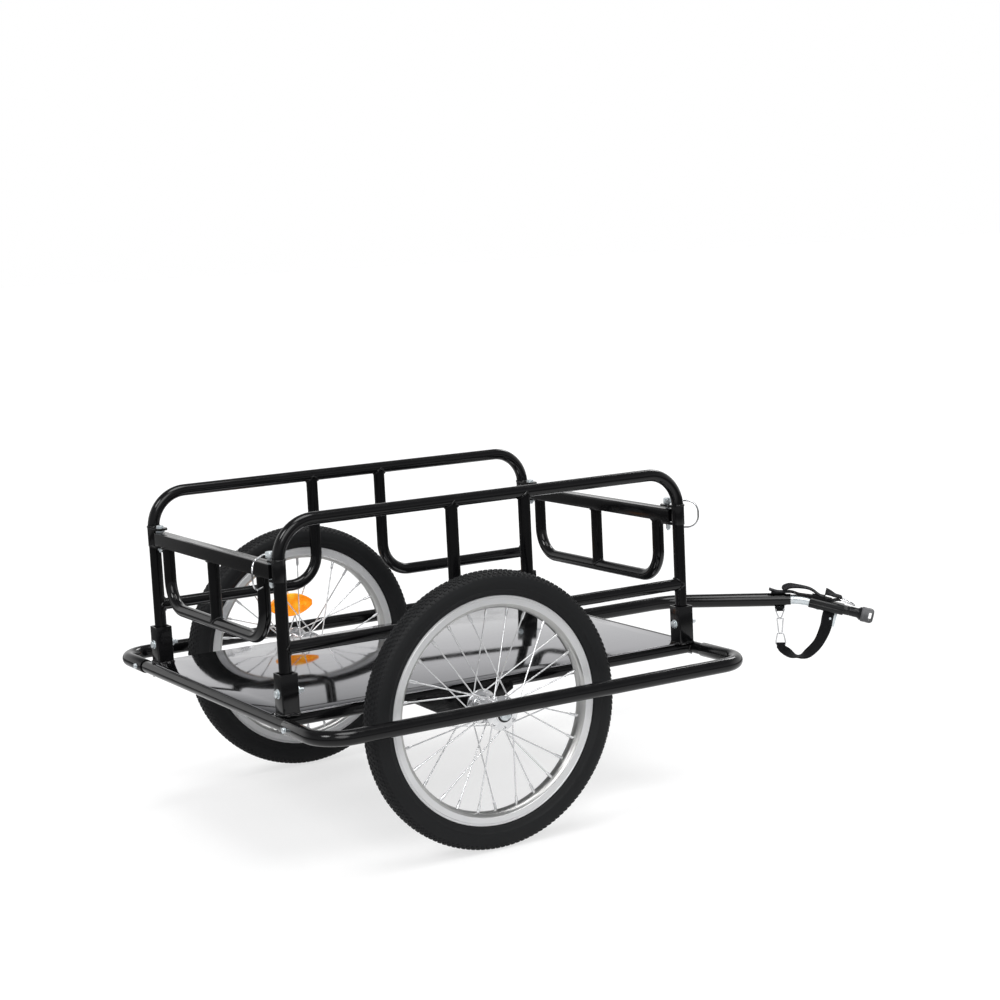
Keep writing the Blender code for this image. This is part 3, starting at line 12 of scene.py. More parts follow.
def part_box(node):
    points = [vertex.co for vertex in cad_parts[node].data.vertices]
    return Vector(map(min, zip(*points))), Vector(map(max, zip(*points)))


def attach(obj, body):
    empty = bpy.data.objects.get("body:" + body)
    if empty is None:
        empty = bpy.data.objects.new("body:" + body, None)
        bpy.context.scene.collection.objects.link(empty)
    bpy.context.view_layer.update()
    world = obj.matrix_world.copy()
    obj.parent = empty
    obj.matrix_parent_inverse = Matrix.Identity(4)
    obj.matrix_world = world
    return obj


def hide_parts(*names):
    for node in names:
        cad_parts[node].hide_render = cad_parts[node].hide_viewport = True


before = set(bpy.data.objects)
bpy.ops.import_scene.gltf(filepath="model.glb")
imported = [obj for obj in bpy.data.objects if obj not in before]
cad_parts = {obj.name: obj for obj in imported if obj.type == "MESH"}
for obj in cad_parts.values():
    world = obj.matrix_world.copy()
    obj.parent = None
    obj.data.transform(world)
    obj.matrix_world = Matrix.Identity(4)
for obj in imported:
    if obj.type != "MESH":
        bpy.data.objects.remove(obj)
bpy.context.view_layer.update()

# The surfaces once they are made, each under its key
SURFACES = {}


def middle_of(node):
    low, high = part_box(node)
    return (Vector(low) + Vector(high)) / 2


AXLE = (middle_of("left_tyre") + middle_of("right_tyre")) / 2

# How near points have to be to count as one: in a mirrored or spun copy, in a drawn shape, in a closed surface
SAME, JOINED, CLOSED = 0.0000001, 0.000004, 0.00001

# Tubes of the deck frame
TUBE = 0.00869
WIDE_TUBE = 0.01033
FRAME_Z = 0.0160
REAR_X, MIDDLE_X, FRONT_X = -0.282, 0.170, 0.396
PANEL_Y = 0.217
GUARD_Y = 0.3545
GUARD_END_Y = 0.247
GUARD_BEND = 0.045

# Side panels and sockets
LEGS = {"rear": -0.266, "front": 0.380}
INFILLS = {"rear": -0.003, "front": 0.1145}
HOOP_BEND, INFILL_BEND = 0.052, 0.045
TOP_Z = 0.2805
INFILL_Z = 0.113
SOCKET_HALF = 0.0125
SOCKET_LOW, SOCKET_HIGH = 0.0253, 0.0805
LEG_BOLT_Z = 0.0540
WASHER = 0.0009

# Gates
GATE_Z = 0.2150
GATE_LOW = 0.1160
GATE_HALF_BAR = 0.0095
GATE_TUBE_Y = 0.1645
GATE_BEND = 0.042
GATE_BEAD = 0.0015
GATE_REACH = 0.0038             # the bars reach this much further into the catches
PIVOT_Y = 0.192
COLLAR_REACH, COLLAR_FIT = 0.0120, 0.86   # the brackets' collars hug the legs
BRACKET_LOW, BRACKET_TOP = GATE_Z - 0.0129, GATE_Z + 0.0161
BOW_WIRE = 0.00125
BOW_REACH = 0.044

# Wheels
TRACK = 0.590
SPOKES = 28
FLANGE_Y = 0.0270
SPOKE_CIRCLE = 0.0205
TREAD_BLOCKS = 150
SPOKE = 0.0010
NIPPLE_CIRCLE = 0.1400
VALVE_ANGLE = 1.545

# Drawbar and hitch
DRAWBAR_Y, DRAWBAR_Z = 0.195, -0.0073
DRAWBAR_RADIUS = 0.0115
RECEIVER_REAR, RECEIVER_FRONT = 0.140, 0.388
RECEIVER_RADIUS = 0.0140
HEADING = Vector((math.cos(math.radians(40)), -math.sin(math.radians(40)), 0))
SIDEWAYS = Vector((math.sin(math.radians(40)), math.cos(math.radians(40)), 0))
UP = Vector((0, 0, 1))
KNEE = Vector((0.652, DRAWBAR_Y, DRAWBAR_Z))
DRAWBAR_END = KNEE + HEADING * 0.2113
PITCH = math.radians(15)
SLEEVE_RADIUS = 0.0082
SLEEVE_LENGTH = 0.032
SLEEVE_BEND = SLEEVE_LENGTH / PITCH
EYE_S = -0.019                  # the snap hook hangs here
HOOK_TOP, HOOK_RING = -0.0165, -0.0795
FITTING_WIRE = 0.0012
STRAP_WIDTH = 0.0200
STRAP = 0.0022
STRAP_FOLD = 0.0029             # from a wire's middle to that of the strap folded round it
ON_TUBE = 0.0133                # middles of the strap layers on the drawbar, the sleeve and the block
ON_SLEEVE = 0.0094
ON_BLOCK = 0.0103
LINK_AT = (0.0815, 0.0180)      # the ring's end in the coupler strap's fold


def place(x, y, z):
    """A point given from the middle of the axle."""
    return AXLE + Vector((x, y, z))


def at_hitch(along, up=0.0, sideways=0.0):
    """A point ahead of the drawbar's end along its heading, above its middle and to its left."""
    return AXLE + DRAWBAR_END + HEADING * along + UP * up + SIDEWAYS * sideways


def on_sleeve(along, up=0.0):
    """A point above the sleeve, which bends down evenly from the drawbar's end."""
    turned = along / SLEEVE_BEND
    return at_hitch((SLEEVE_BEND + up) * math.sin(turned), (SLEEVE_BEND + up) * math.cos(turned) - SLEEVE_BEND)


COUPLER_AHEAD = HEADING * math.cos(PITCH) - UP * math.sin(PITCH)
COUPLER_UP = HEADING * math.sin(PITCH) + UP * math.cos(PITCH)


def on_coupler(ahead, up=0.0, sideways=0.0):
    """A point in the frame of the coupler, which starts where the sleeve has bent down."""
    start = on_sleeve(SLEEVE_LENGTH) - COUPLER_AHEAD * SLEEVE_LENGTH
    return start + COUPLER_AHEAD * ahead + COUPLER_UP * up + SIDEWAYS * sideways


# Working in the modeller

def to_object_mode():
    bpy.ops.object.mode_set(mode="OBJECT")


def to_edit_mode():
    bpy.ops.object.mode_set(mode="EDIT")


def edit_all():
    """Goes into edit mode with all of the mesh selected."""
    to_edit_mode()
    bpy.ops.mesh.select_all(action="SELECT")


def only(obj=None):
    """Leaves edit mode and selects one object, or none."""
    if bpy.context.object and bpy.context.object.mode != "OBJECT":
        to_object_mode()
    bpy.ops.object.select_all(action="DESELECT")
    if obj:
        obj.select_set(True)
        bpy.context.view_layer.objects.active = obj


def named(name):
    obj = bpy.context.object
    obj.name = name
    obj.data.name = name
    return obj


def pick_none(obj, kind):
    """Readies a mesh for picking faces or edges."""
    only(obj)
    to_edit_mode()
    bpy.ops.mesh.select_mode(type=kind)
    bpy.ops.mesh.select_all(action="DESELECT")
    to_object_mode()


def pick_faces(obj, wanted):
    """Goes into edit mode with those faces selected whose middle and normal pass the test."""
    pick_none(obj, "FACE")
    for face in obj.data.polygons:
        face.select = bool(wanted(obj.matrix_world @ face.center, obj.matrix_world.to_3x3() @ face.normal))
    to_edit_mode()


def pick_edges(obj, wanted):
    """Goes into edit mode with those edges selected whose two ends pass the test."""
    pick_none(obj, "EDGE")
    spots = [obj.matrix_world @ vertex.co for vertex in obj.data.vertices]
    for edge in obj.data.edges:
        edge.select = bool(wanted(spots[edge.vertices[0]], spots[edge.vertices[1]]))
    to_edit_mode()


def shift_faces(obj, offset, wanted):
    pick_faces(obj, wanted)
    bpy.ops.transform.translate(value=offset)
    to_object_mode()


def scale_picked(size, centre):
    """Scales what is picked from a centre and leaves edit mode."""
    bpy.ops.transform.resize(value=size, center_override=centre)
    to_object_mode()


def extrude(offset):
    bpy.ops.mesh.extrude_region_move(TRANSFORM_OT_translate={"value": offset})


def sink_picked(rim, offset):
    """Insets the picked flat by its rim, pushes it in or out and leaves edit mode."""
    bpy.ops.mesh.inset(thickness=rim)
    extrude(offset)
    to_object_mode()


def close_up(obj, threshold=JOINED):
    """Merges doubled points and turns all faces outwards."""
    only(obj)
    edit_all()
    bpy.ops.mesh.remove_doubles(threshold=threshold)
    bpy.ops.mesh.normals_make_consistent(inside=False)
    to_object_mode()
    return obj


def spin_copies(obj, centre, count):
    """Spins copies of a whole mesh round the wheel's axis to make a full set."""
    edit_all()
    bpy.ops.mesh.spin(steps=count - 1, dupli=True, angle=2 * math.pi * (count - 1) / count, center=centre,
                      axis=(0, 1, 0), use_auto_merge=False)
    to_object_mode()
    return close_up(obj, SAME)


def apply_modifier(obj, kind, **settings):
    only(obj)
    modifier = obj.modifiers.new(kind.lower(), kind)
    for setting, value in settings.items():
        setattr(modifier, setting, value)
    bpy.ops.object.modifier_apply(modifier=modifier.name)
    return obj


def round_edges(obj, width, segments=2, angle=40):
    return apply_modifier(obj, "BEVEL", width=width, segments=segments, limit_method="ANGLE",
                          angle_limit=math.radians(angle))


def join(name, pieces):
    """Makes several modelled shapes one piece."""
    only(pieces[0])
    for piece in pieces[1:]:
        piece.select_set(True)
    if len(pieces) > 1:
        bpy.ops.object.join()
    return named(name)


def cut_away(obj, cutter):
    apply_modifier(obj, "BOOLEAN", operation="DIFFERENCE", solver="EXACT", object=cutter)
    bpy.data.objects.remove(cutter)
    return obj


def settle(obj):
    """Puts a piece's place into its mesh, with the object itself at the origin."""
    only(obj)
    bpy.ops.object.transform_apply(location=True, rotation=True, scale=True)
    return obj


def finish(obj, surface, body, *nodes, smooth=32):
    """The last step on each piece: its surface, the body it moves with and the CAD pieces it stands for."""
    settle(obj)
    bpy.ops.object.shade_smooth_by_angle(angle=math.radians(smooth))
    obj.data.materials.clear()
    obj.data.materials.append(SURFACES[surface])
    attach(obj, body)
    if nodes:
        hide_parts(*nodes)


def mirrored(obj, name):
    """A copy of a piece on the trailer's other side, before it gets its finish."""
    settle(obj)
    bpy.ops.object.duplicate()
    copy = named(name)
    copy.scale = (1, -1, 1)
    settle(copy)
    return close_up(copy, SAME)


def finish_pair(piece, *names, smooth=32):
    """Finishes a piece of the right side and its mirror image, with what is named right and left."""
    other = mirrored(piece, piece.name.replace("right", "left"))
    for side, shape in (("right", piece), ("left", other)):
        finish(shape, *[name.replace("right", side) for name in names], smooth=smooth)


# Shapes

def draw_tube(name, corners, radius, bends=0.0, sides=32, closed=False, bend_step=7.5, neck=None):
    """A round bar: a disc drawn down each straight and spun round each bend.

    bends is one bend radius for every corner, or one for each. A closed bar starts and ends in the middle of a
    straight. neck is (length, radius) of a narrower front end.
    """
    corners = [Vector(corner) for corner in corners]
    if not isinstance(bends, (list, tuple)):
        bends = [bends] * (len(corners) - 2)
    first = (corners[1] - corners[0]).normalized()
    only()
    bpy.ops.mesh.primitive_circle_add(vertices=sides, radius=radius, fill_type="NGON", location=corners[0],
                                      rotation=first.to_track_quat("Z", "Y").to_euler())
    obj = named(name)
    edit_all()
    here = corners[0]
    for before, corner, after, bend in zip(corners, corners[1:], corners[2:], bends):
        into = (corner - before).normalized()
        out = (after - corner).normalized()
        turn = into.angle(out)
        if turn < 0.001:
            continue
        tangent = bend * math.tan(turn / 2)
        extrude(corner - into * tangent - here)
        centre = corner + (out - into).normalized() * (bend / math.cos(turn / 2))
        steps = max(3, math.ceil(math.degrees(turn) / bend_step))
        bpy.ops.mesh.spin(steps=steps, dupli=False, angle=-turn, center=centre, axis=into.cross(out).normalized())
        here = corner + out * tangent
    last = corners[-1]
    extrude(last - here)
    if neck:
        length, narrow = neck
        step = (last - corners[-2]).normalized() * length
        extrude(step)
        bpy.ops.transform.resize(value=[narrow / radius] * 3, center_override=last + step)
    if closed:
        pick_faces(obj, lambda centre, normal: (centre - last).length < 0.00002)
        bpy.ops.mesh.delete(type="ONLY_FACE")
    return close_up(obj)


def hollow_end(obj, centre, outward, wall, depth):
    """Bores the flat end of a tube."""
    centre, outward = Vector(centre), Vector(outward).normalized()
    pick_faces(obj, lambda middle, normal: (middle - centre).length < 0.0015 and normal.dot(outward) > 0.95)
    sink_picked(wall, -outward * depth)
    return obj


def draw_chain(name, points):
    """A chain of points joined by edges, left in edit mode with all of it selected."""
    points = [Vector(point) for point in points]
    only()
    bpy.ops.mesh.primitive_plane_add(size=0.001, location=points[0])
    obj = named(name)
    to_edit_mode()
    bpy.ops.mesh.select_mode(type="VERT")
    bpy.ops.mesh.select_all(action="SELECT")
    bpy.ops.mesh.merge(type="CENTER")
    for before, point in zip(points, points[1:]):
        bpy.ops.mesh.extrude_vertices_move(TRANSFORM_OT_translate={"value": point - before})
    bpy.ops.mesh.select_all(action="SELECT")
    return obj


def turned(name, centre, axis, profile, steps=48, closed=False):
    """A profile of (radius, along) pairs spun once round its axis."""
    centre, axis = Vector(centre), Vector(axis).normalized()
    outward = axis.orthogonal().normalized()
    if closed:
        profile = profile + [profile[0]]
    obj = draw_chain(name, [centre + outward * radius + axis * along for radius, along in profile])
    bpy.ops.mesh.remove_doubles(threshold=JOINED)
    bpy.ops.mesh.spin(steps=steps, dupli=False, angle=2 * math.pi, center=centre, axis=axis, use_auto_merge=True)
    return close_up(obj, CLOSED)


def cut_plate(name, outline, through):
    """A flat shape drawn round its outline, filled and given its thickness."""
    obj = draw_chain(name, outline)
    bpy.ops.mesh.edge_face_add()
    extrude(Vector(through))
    return close_up(obj)


def block(name, centre, size, rotation=(0, 0, 0)):
    only()
    bpy.ops.mesh.primitive_cube_add(size=1, location=centre, rotation=rotation, scale=size)
    return named(name)


def disc(name, centre, axis, radius, depth, sides=28, edge=0.0):
    """A round plate, with its edges rounded if an edge is given."""
    only()
    turn = Vector(axis).to_track_quat("Z", "Y").to_euler()
    bpy.ops.mesh.primitive_cylinder_add(vertices=sides, radius=radius, depth=depth, location=centre, rotation=turn)
    return round_edges(named(name), edge) if edge else named(name)


def refined(node, name, edge, segments=2, angle=35):
    """A copy of a CAD piece with its seams merged and its sharp edges rounded."""
    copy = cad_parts[node].copy()
    copy.data = copy.data.copy()
    bpy.context.scene.collection.objects.link(copy)
    copy.parent = None
    copy.name = name
    for key in list(copy.keys()):
        del copy[key]
    close_up(copy, CLOSED)
    edit_all()
    bpy.ops.mesh.dissolve_limited(angle_limit=math.radians(2))
    to_object_mode()
    return round_edges(copy, edge, segments, angle)


def hex_head(name, seat, outward, radius, height):
    """A hexagon head or nut with its corners turned off, standing on its seat."""
    return disc(name, Vector(seat) + Vector(outward) * height / 2, outward, radius, height, 6, radius * 0.1)


def bolted(name, start, end, radius=0.0030, head=0.0056, flange=1.18, nut=0.0032, thread=0.0026):
    """A hexagon bolt through a joint: washer and head at the start, washer, nut and thread at the end."""
    start, end = Vector(start), Vector(end)
    along = (end - start).normalized()
    height = 0.0032
    shank = draw_tube("shank", [start - along * 0.002, end + along * (WASHER + nut + thread)], radius, sides=20)
    round_edges(shank, 0.0005, 2, 60)
    return join(name, [
        shank, disc("washer", start - along * WASHER / 2, along, head * flange, WASHER, edge=0.0002),
        hex_head("head", start - along * WASHER, -along, head, height),
        disc("washer", end + along * WASHER / 2, along, head * flange, WASHER, edge=0.0002),
        hex_head("nut", end + along * WASHER, along, head, nut)])


def roughen(obj, size, depth):
    """Pushes a bead's points in and out, as a weld's ripples do."""
    for vertex in obj.data.vertices:
        vertex.co += vertex.normal * (noise.noise(vertex.co / size) * depth)
    return obj


def weld_round(branch_start, along, branch_radius, main_axis=None, main_radius=0.0, bead=0.0017):
    """A weld bead round a tube's end, lying on the tube or flat that it meets."""
    branch_start, along = Vector(branch_start), Vector(along).normalized()
    only()
    bpy.ops.mesh.primitive_torus_add(major_segments=56, minor_segments=8, major_radius=branch_radius + bead * 0.25,
                                     minor_radius=bead, location=branch_start,
                                     rotation=along.to_track_quat("Z", "Y").to_euler())
    obj = settle(named("weld"))
    if main_axis is not None:
        across = along.cross(Vector(main_axis)).normalized()
        for vertex in obj.data.vertices:
            out = vertex.co - branch_start
            out -= along * out.dot(along)
            offset = out.normalized().dot(across) * branch_radius
            vertex.co += along * math.sqrt(max(main_radius ** 2 - offset ** 2, 0.0))
    return roughen(obj, 0.0028, bead * 0.75)


def weld_line(start, end, bead=0.0015):
    """A straight weld bead."""
    start, end = Vector(start), Vector(end)
    length, middle = (end - start).length, (start + end) / 2
    only()
    bpy.ops.mesh.primitive_uv_sphere_add(segments=10, ring_count=max(8, int(length / 0.0012)), radius=1,
                                         location=middle, rotation=(end - start).to_track_quat("Z", "Y").to_euler(),
                                         scale=(bead, bead, length / 2))
    obj = settle(named("weld"))
    along = (end - start).normalized()
    for vertex in obj.data.vertices:
        # the sphere's rounded ends are drawn out to a bead of even thickness
        t = (vertex.co - middle).dot(along) / (length / 2)
        out = vertex.co - (middle + along * t * length / 2)
        if out.length > 1e-7:
            vertex.co += out.normalized() * (bead * min(1.0, (1 - abs(t)) * length / bead) - out.length) * 0.9
    return roughen(obj, 0.0022, bead * 0.8)


# Surfaces

class Nodes:
    """A node tree being built. Each value may be a number, a tuple or the socket that feeds it."""

    def __init__(self, tree):
        self.tree = tree

    def set(self, socket, value):
        if isinstance(value, bpy.types.NodeSocket):
            self.tree.links.new(value, socket)
        elif isinstance(value, tuple) and len(value) == 3 and len(socket.default_value) == 4:
            socket.default_value = (*value, 1.0)
        else:
            socket.default_value = value

    def add(self, kind, inputs, **settings):
        made = self.tree.nodes.new("ShaderNode" + kind)
        for setting, value in settings.items():
            setattr(made, setting, value)
        for key, value in inputs.items():
            self.set(made.inputs[key], value)
        return made.outputs

    def math(self, operation, first, second=0.0, third=0.5, clamp=False):
        return self.add("Math", {0: first, 1: second, 2: third}, operation=operation, use_clamp=clamp)[0]

    def noise(self, vector, scale, detail, roughness=0.5, distortion=0.0):
        return self.add("TexNoise", {"Vector": vector, "Scale": scale, "Detail": detail, "Roughness": roughness,
                                     "Distortion": distortion})["Fac"]

    def cells(self, scale, randomness):
        return self.add("TexVoronoi", {"Vector": self.place, "Scale": scale, "Randomness": randomness})["Distance"]

    def split(self, vector):
        return self.add("SeparateXYZ", {0: vector})

    def spread(self, value, low, high, to_low=0.0, to_high=1.0):
        """Maps a value's range to another, cut off at both ends."""
        return self.add("MapRange", {"Value": value, "From Min": low, "From Max": high, "To Min": to_low,
                                     "To Max": to_high}, clamp=True)["Result"]

    def mix(self, factor, first, second):
        """A colour between two."""
        return self.add("Mix", {0: factor, 6: first, 7: second}, data_type="RGBA", clamp_factor=True)[2]


def new_group(name, values, *results):
    """A shader group that takes a vector and the named values: its nodes, what it is given and its results."""
    tree = bpy.data.node_groups.new(name, "ShaderNodeTree")
    tree.interface.new_socket(name="Vector", in_out="INPUT", socket_type="NodeSocketVector")
    for label, value in values.items():
        tree.interface.new_socket(name=label, in_out="INPUT", socket_type="NodeSocketFloat").default_value = value
    for label in results:
        tree.interface.new_socket(name=label, in_out="OUTPUT", socket_type="NodeSocketFloat")
    return Nodes(tree), tree.nodes.new("NodeGroupInput").outputs, tree.nodes.new("NodeGroupOutput").inputs


def make_grain_group():
    """Fine moulded or sprayed texture: a height of small bumps over slow swells."""
    nodes, given, result = new_group("surface grain", {"Scale": 1200.0, "Swell": 0.3}, "Height")
    small = nodes.noise(given["Vector"], given["Scale"], 3.0, 0.55)
    slow = nodes.noise(given["Vector"], nodes.math("MULTIPLY", given["Scale"], 0.16), 1.0)
    nodes.set(result["Height"], nodes.math("ADD", small, nodes.math("MULTIPLY", slow, given["Swell"])))
    return nodes.tree


def make_tone_group():
    """Slow, uneven tone over a surface, as handling and storage leave it."""
    nodes, given, result = new_group("uneven tone", {"Scale": 30.0, "Contrast": 1.0}, "Mask")
    centred = nodes.math("SUBTRACT", nodes.noise(given["Vector"], given["Scale"], 5.0, 0.62, 0.4), 0.5)
    scaled = nodes.math("MULTIPLY", centred, given["Contrast"])
    nodes.set(result["Mask"], nodes.math("ADD", scaled, 0.5, clamp=True))
    return nodes.tree


def make_dust_group():
    """Thin dust that settles on faces turned up, in broken patches."""
    nodes, given, result = new_group("settled dust", {"Amount": 0.2}, "Mask")
    upward = nodes.spread(nodes.split(nodes.add("NewGeometry", {})["Normal"])["Z"], 0.25, 0.95)
    broken = nodes.spread(nodes.noise(given["Vector"], 60.0, 6.0, 0.7), 0.35, 0.75)
    both = nodes.math("MULTIPLY", upward, broken)
    nodes.set(result["Mask"], nodes.math("MULTIPLY", both, given["Amount"], clamp=True))
    return nodes.tree


def make_lathe_group():
    """Fine rings left by turning, round the Y axis through the piece's middle."""
    nodes, given, result = new_group("lathe rings", {"Density": 900.0}, "Height", "Radius")
    parts = nodes.split(given["Vector"])
    squares = [nodes.math("MULTIPLY", parts[axis], parts[axis]) for axis in ("X", "Z")]
    radius = nodes.math("SQRT", nodes.math("ADD", *squares))
    flat = nodes.add("CombineXYZ", {"X": radius, "Y": parts["Y"], "Z": 0.0})[0]
    nodes.set(result["Height"], nodes.noise(flat, given["Density"], 3.0, 0.6))
    nodes.set(result["Radius"], radius)
    return nodes.tree


class Surface(Nodes):
    """One material being built: its tree, its shader and the coordinates its patterns read."""

    def __init__(self, name, **constants):
        self.material = bpy.data.materials.new(name)
        self.material.use_nodes = True
        super().__init__(self.material.node_tree)
        self.shader = self.tree.nodes["Principled BSDF"].inputs
        self.coordinates = self.add("TexCoord", {})
        self.place = self.coordinates["Object"]
        self.feed(**constants)

    def feed(self, **values):
        """Sets the shader's inputs, each by its name with _ for a space."""
        for key, value in values.items():
            self.set(self.shader[key.replace("_", " ")], value)

    def group(self, tree, **inputs):
        return self.add("Group", {"Vector": self.place, **inputs}, node_tree=tree)[0]

    def mapped(self, vector, **settings):
        return self.add("Mapping", {"Vector": vector, **settings})["Vector"]

    def bump(self, height, strength, distance, **after):
        normal = self.add("Bump", {"Height": height, "Strength": strength, "Distance": distance, **after})["Normal"]
        self.feed(Normal=normal)
        return normal


def make_surfaces():
    """Fills SURFACES."""
    grain, tone, dust, rings = make_grain_group(), make_tone_group(), make_dust_group(), make_lathe_group()

    def toned(key, name, patch, dark, light, rough=None, fine=None, dusted=None, **constants):
        """A surface in uneven tone between two colours and two roughnesses.

        patch is the tone's scale and contrast, fine the grain's scale, swell, strength and height, and dusted the
        dust's amount and colour.
        """
        surface = Surface(name, **constants)
        patches = surface.group(tone, Scale=patch[0], Contrast=patch[1])
        color, dusty = surface.mix(patches, dark, light), None
        if dusted:
            dusty = surface.group(dust, Amount=dusted[0])
            color = surface.mix(dusty, color, dusted[1])
        surface.feed(Base_Color=color)
        if rough:
            surface.feed(Roughness=surface.spread(patches, 0.1, 0.9, *rough))
        if fine:
            scale, swell, strength, height = fine
            surface.bump(surface.group(grain, Scale=scale, Swell=swell), strength, height)
        SURFACES[key] = surface.material
        return surface, patches, dusty

    toned("zinc", "zinc plate", (160.0, 2.0), (0.68, 0.75, 0.79), (0.84, 0.88, 0.89), (0.22, 0.42),
          (2200.0, 0.5, 0.16, 0.0003), Metallic=0.75)
    toned("chrome", "bright chrome wire", (120.0, 1.5), (0.72, 0.73, 0.75), (0.82, 0.82, 0.83), (0.07, 0.17),
          Metallic=1.0)
    toned("hub", "polished hub", (150.0, 1.6), (0.66, 0.67, 0.69), (0.88, 0.88, 0.88), (0.10, 0.22), Metallic=1.0)
    toned("steel", "plated spoke steel", (200.0, 1.8), (0.80, 0.81, 0.83), (0.92, 0.92, 0.92), (0.16, 0.30),
          Metallic=0.7)
    toned("rubber", "tyre rubber", (35.0, 1.5), (0.0048, 0.0053, 0.0060), (0.0090, 0.0096, 0.0106), (0.58, 0.74),
          (1500.0, 0.6, 0.22, 0.0004), (0.12, (0.075, 0.072, 0.068)), Specular_IOR_Level=0.30)
    toned("thread", "sewing thread", (900.0, 1.8), (0.012, 0.012, 0.013), (0.030, 0.030, 0.033), Roughness=0.65,
          Sheen_Weight=0.1)
    toned("nylon", "moulded black nylon", (60.0, 1.4), (0.0030, 0.0034, 0.0040), (0.0065, 0.0070, 0.0078),
          (0.24, 0.36), (2600.0, 0.3, 0.20, 0.0003), Specular_IOR_Level=0.36)
    toned("plastic", "grey plastic", (80.0, 1.4), (0.085, 0.086, 0.090), (0.125, 0.126, 0.130), (0.42, 0.58),
          (2400.0, 0.3, 0.22, 0.0003), Specular_IOR_Level=0.4)
    toned("seal", "bearing seal rubber", (300.0, 1.6), (0.012, 0.012, 0.013), (0.030, 0.030, 0.032), (0.40, 0.60),
          Specular_IOR_Level=0.4)
    paint, patches, dusty = toned("paint", "gloss black powder coat", (22.0, 1.6), (0.0026, 0.0026, 0.0030),
                                  (0.0048, 0.0048, 0.0053), None, (900.0, 0.9, 0.06, 0.0004),
                                  (0.05, (0.11, 0.105, 0.10)), IOR=1.5, Specular_IOR_Level=0.34)
    rough = paint.spread(patches, 0.2, 0.8, 0.11, 0.17)
    paint.feed(Roughness=paint.math("ADD", rough, paint.math("MULTIPLY", dusty, 0.9)))

    for side, sign in (("left", 1), ("right", -1)):
        alloy = Surface(f"satin aluminium, {side} wheel", IOR=1.8)
        middle = alloy.mapped(alloy.place, Location=-place(0, sign * TRACK / 2, 0))
        lines = alloy.group(rings, Vector=middle, Density=1500.0)
        patches = alloy.group(tone, Scale=45.0, Contrast=1.3)
        shade = alloy.mix(lines, (0.74, 0.745, 0.76), (0.86, 0.865, 0.87))
        shade = alloy.mix(alloy.math("MULTIPLY", patches, 0.25), shade, (0.68, 0.67, 0.65))
        # the spoke bed inside the flat flanks is painted darker and made fully metallic, as painted shade in the
        # rim's deep well
        bed = alloy.spread(lines.node.outputs["Radius"], 0.1464, 0.1470, 1.0, 0.0)
        alloy.feed(Base_Color=alloy.mix(bed, shade, (0.56, 0.56, 0.55)),
                   Metallic=alloy.spread(bed, 0.0, 1.0, 0.25, 1.0),
                   Roughness=alloy.spread(patches, 0.1, 0.9, 0.28, 0.40))
        alloy.bump(lines, 0.15, 0.0002)
        SURFACES[f"{side}_alloy"] = alloy.material

    deck = Surface("rolled deck sheet", Metallic=1.0, Specular_Tint=(0.88, 0.88, 0.89))
    rolling = deck.noise(deck.mapped(deck.place, Scale=(3.0, 260.0, 40.0)), 1.0, 4.0, 0.6)
    smudges = deck.group(tone, Scale=7.0, Contrast=1.8)
    dusty = deck.group(dust, Amount=0.07)
    sheet = deck.mix(rolling, (0.30, 0.30, 0.31), (0.38, 0.38, 0.39))
    deck.feed(Base_Color=deck.mix(dusty, sheet, (0.42, 0.41, 0.40)))
    rough = deck.spread(smudges, 0.15, 0.85, 0.035, 0.09)
    deck.feed(Roughness=deck.math("ADD", rough, deck.math("MULTIPLY", dusty, 0.5)))
    wavy = deck.bump(deck.noise(deck.place, 5.0, 1.0), 0.22, 0.0012)
    deck.bump(rolling, 0.05, 0.0002, Normal=wavy)
    SURFACES["deck"] = deck.material

    # painted light: the lens glows by emission though it is no lamp, and its colour and glow are lighter and darker
    # cell by cell, as painted glints of its prisms
    lens = Surface("amber lens", Coat_Weight=0.4, Coat_Roughness=0.05, Specular_IOR_Level=0.4,
                   Subsurface_Weight=0.25, Subsurface_Scale=0.004, Subsurface_Radius=(1.0, 0.4, 0.05),
                   Emission_Strength=0.50)
    prisms = lens.cells(360.0, 0.0)
    glow = lens.spread(lens.cells(62.0, 0.8), 0.15, 0.65)
    lens.feed(Base_Color=lens.mix(glow, (1.0, 0.48, 0.014), (0.95, 0.30, 0.004)),
              Emission_Color=lens.mix(glow, (1.0, 0.58, 0.05), (1.0, 0.28, 0.002)),
              Roughness=lens.spread(prisms, 0.0, 0.8, 0.14, 0.30))
    lens.bump(prisms, 0.55, 0.0012)
    SURFACES["amber"] = lens.material

    webbing = Surface("woven webbing", Sheen_Weight=0.10, Sheen_Roughness=0.45, Specular_IOR_Level=0.16,
                      Sheen_Tint=(0.5, 0.52, 0.55))
    parts = webbing.split(webbing.coordinates["UV"])
    picks = webbing.math("SINE", webbing.math("MULTIPLY", parts["X"], 4200.0))
    ends = webbing.math("SINE", webbing.math("MULTIPLY", parts["Y"], 5200.0))
    height = webbing.math("MULTIPLY_ADD", webbing.math("MULTIPLY", picks, ends), 0.5, 0.5)
    webbing.feed(Base_Color=webbing.mix(height, (0.0025, 0.0025, 0.0030), (0.011, 0.011, 0.0125)),
                 Roughness=webbing.spread(height, 0.0, 1.0, 0.92, 0.68))
    webbing.bump(height, 0.75, 0.0004)
    SURFACES["webbing"] = webbing.material


# Deck frame

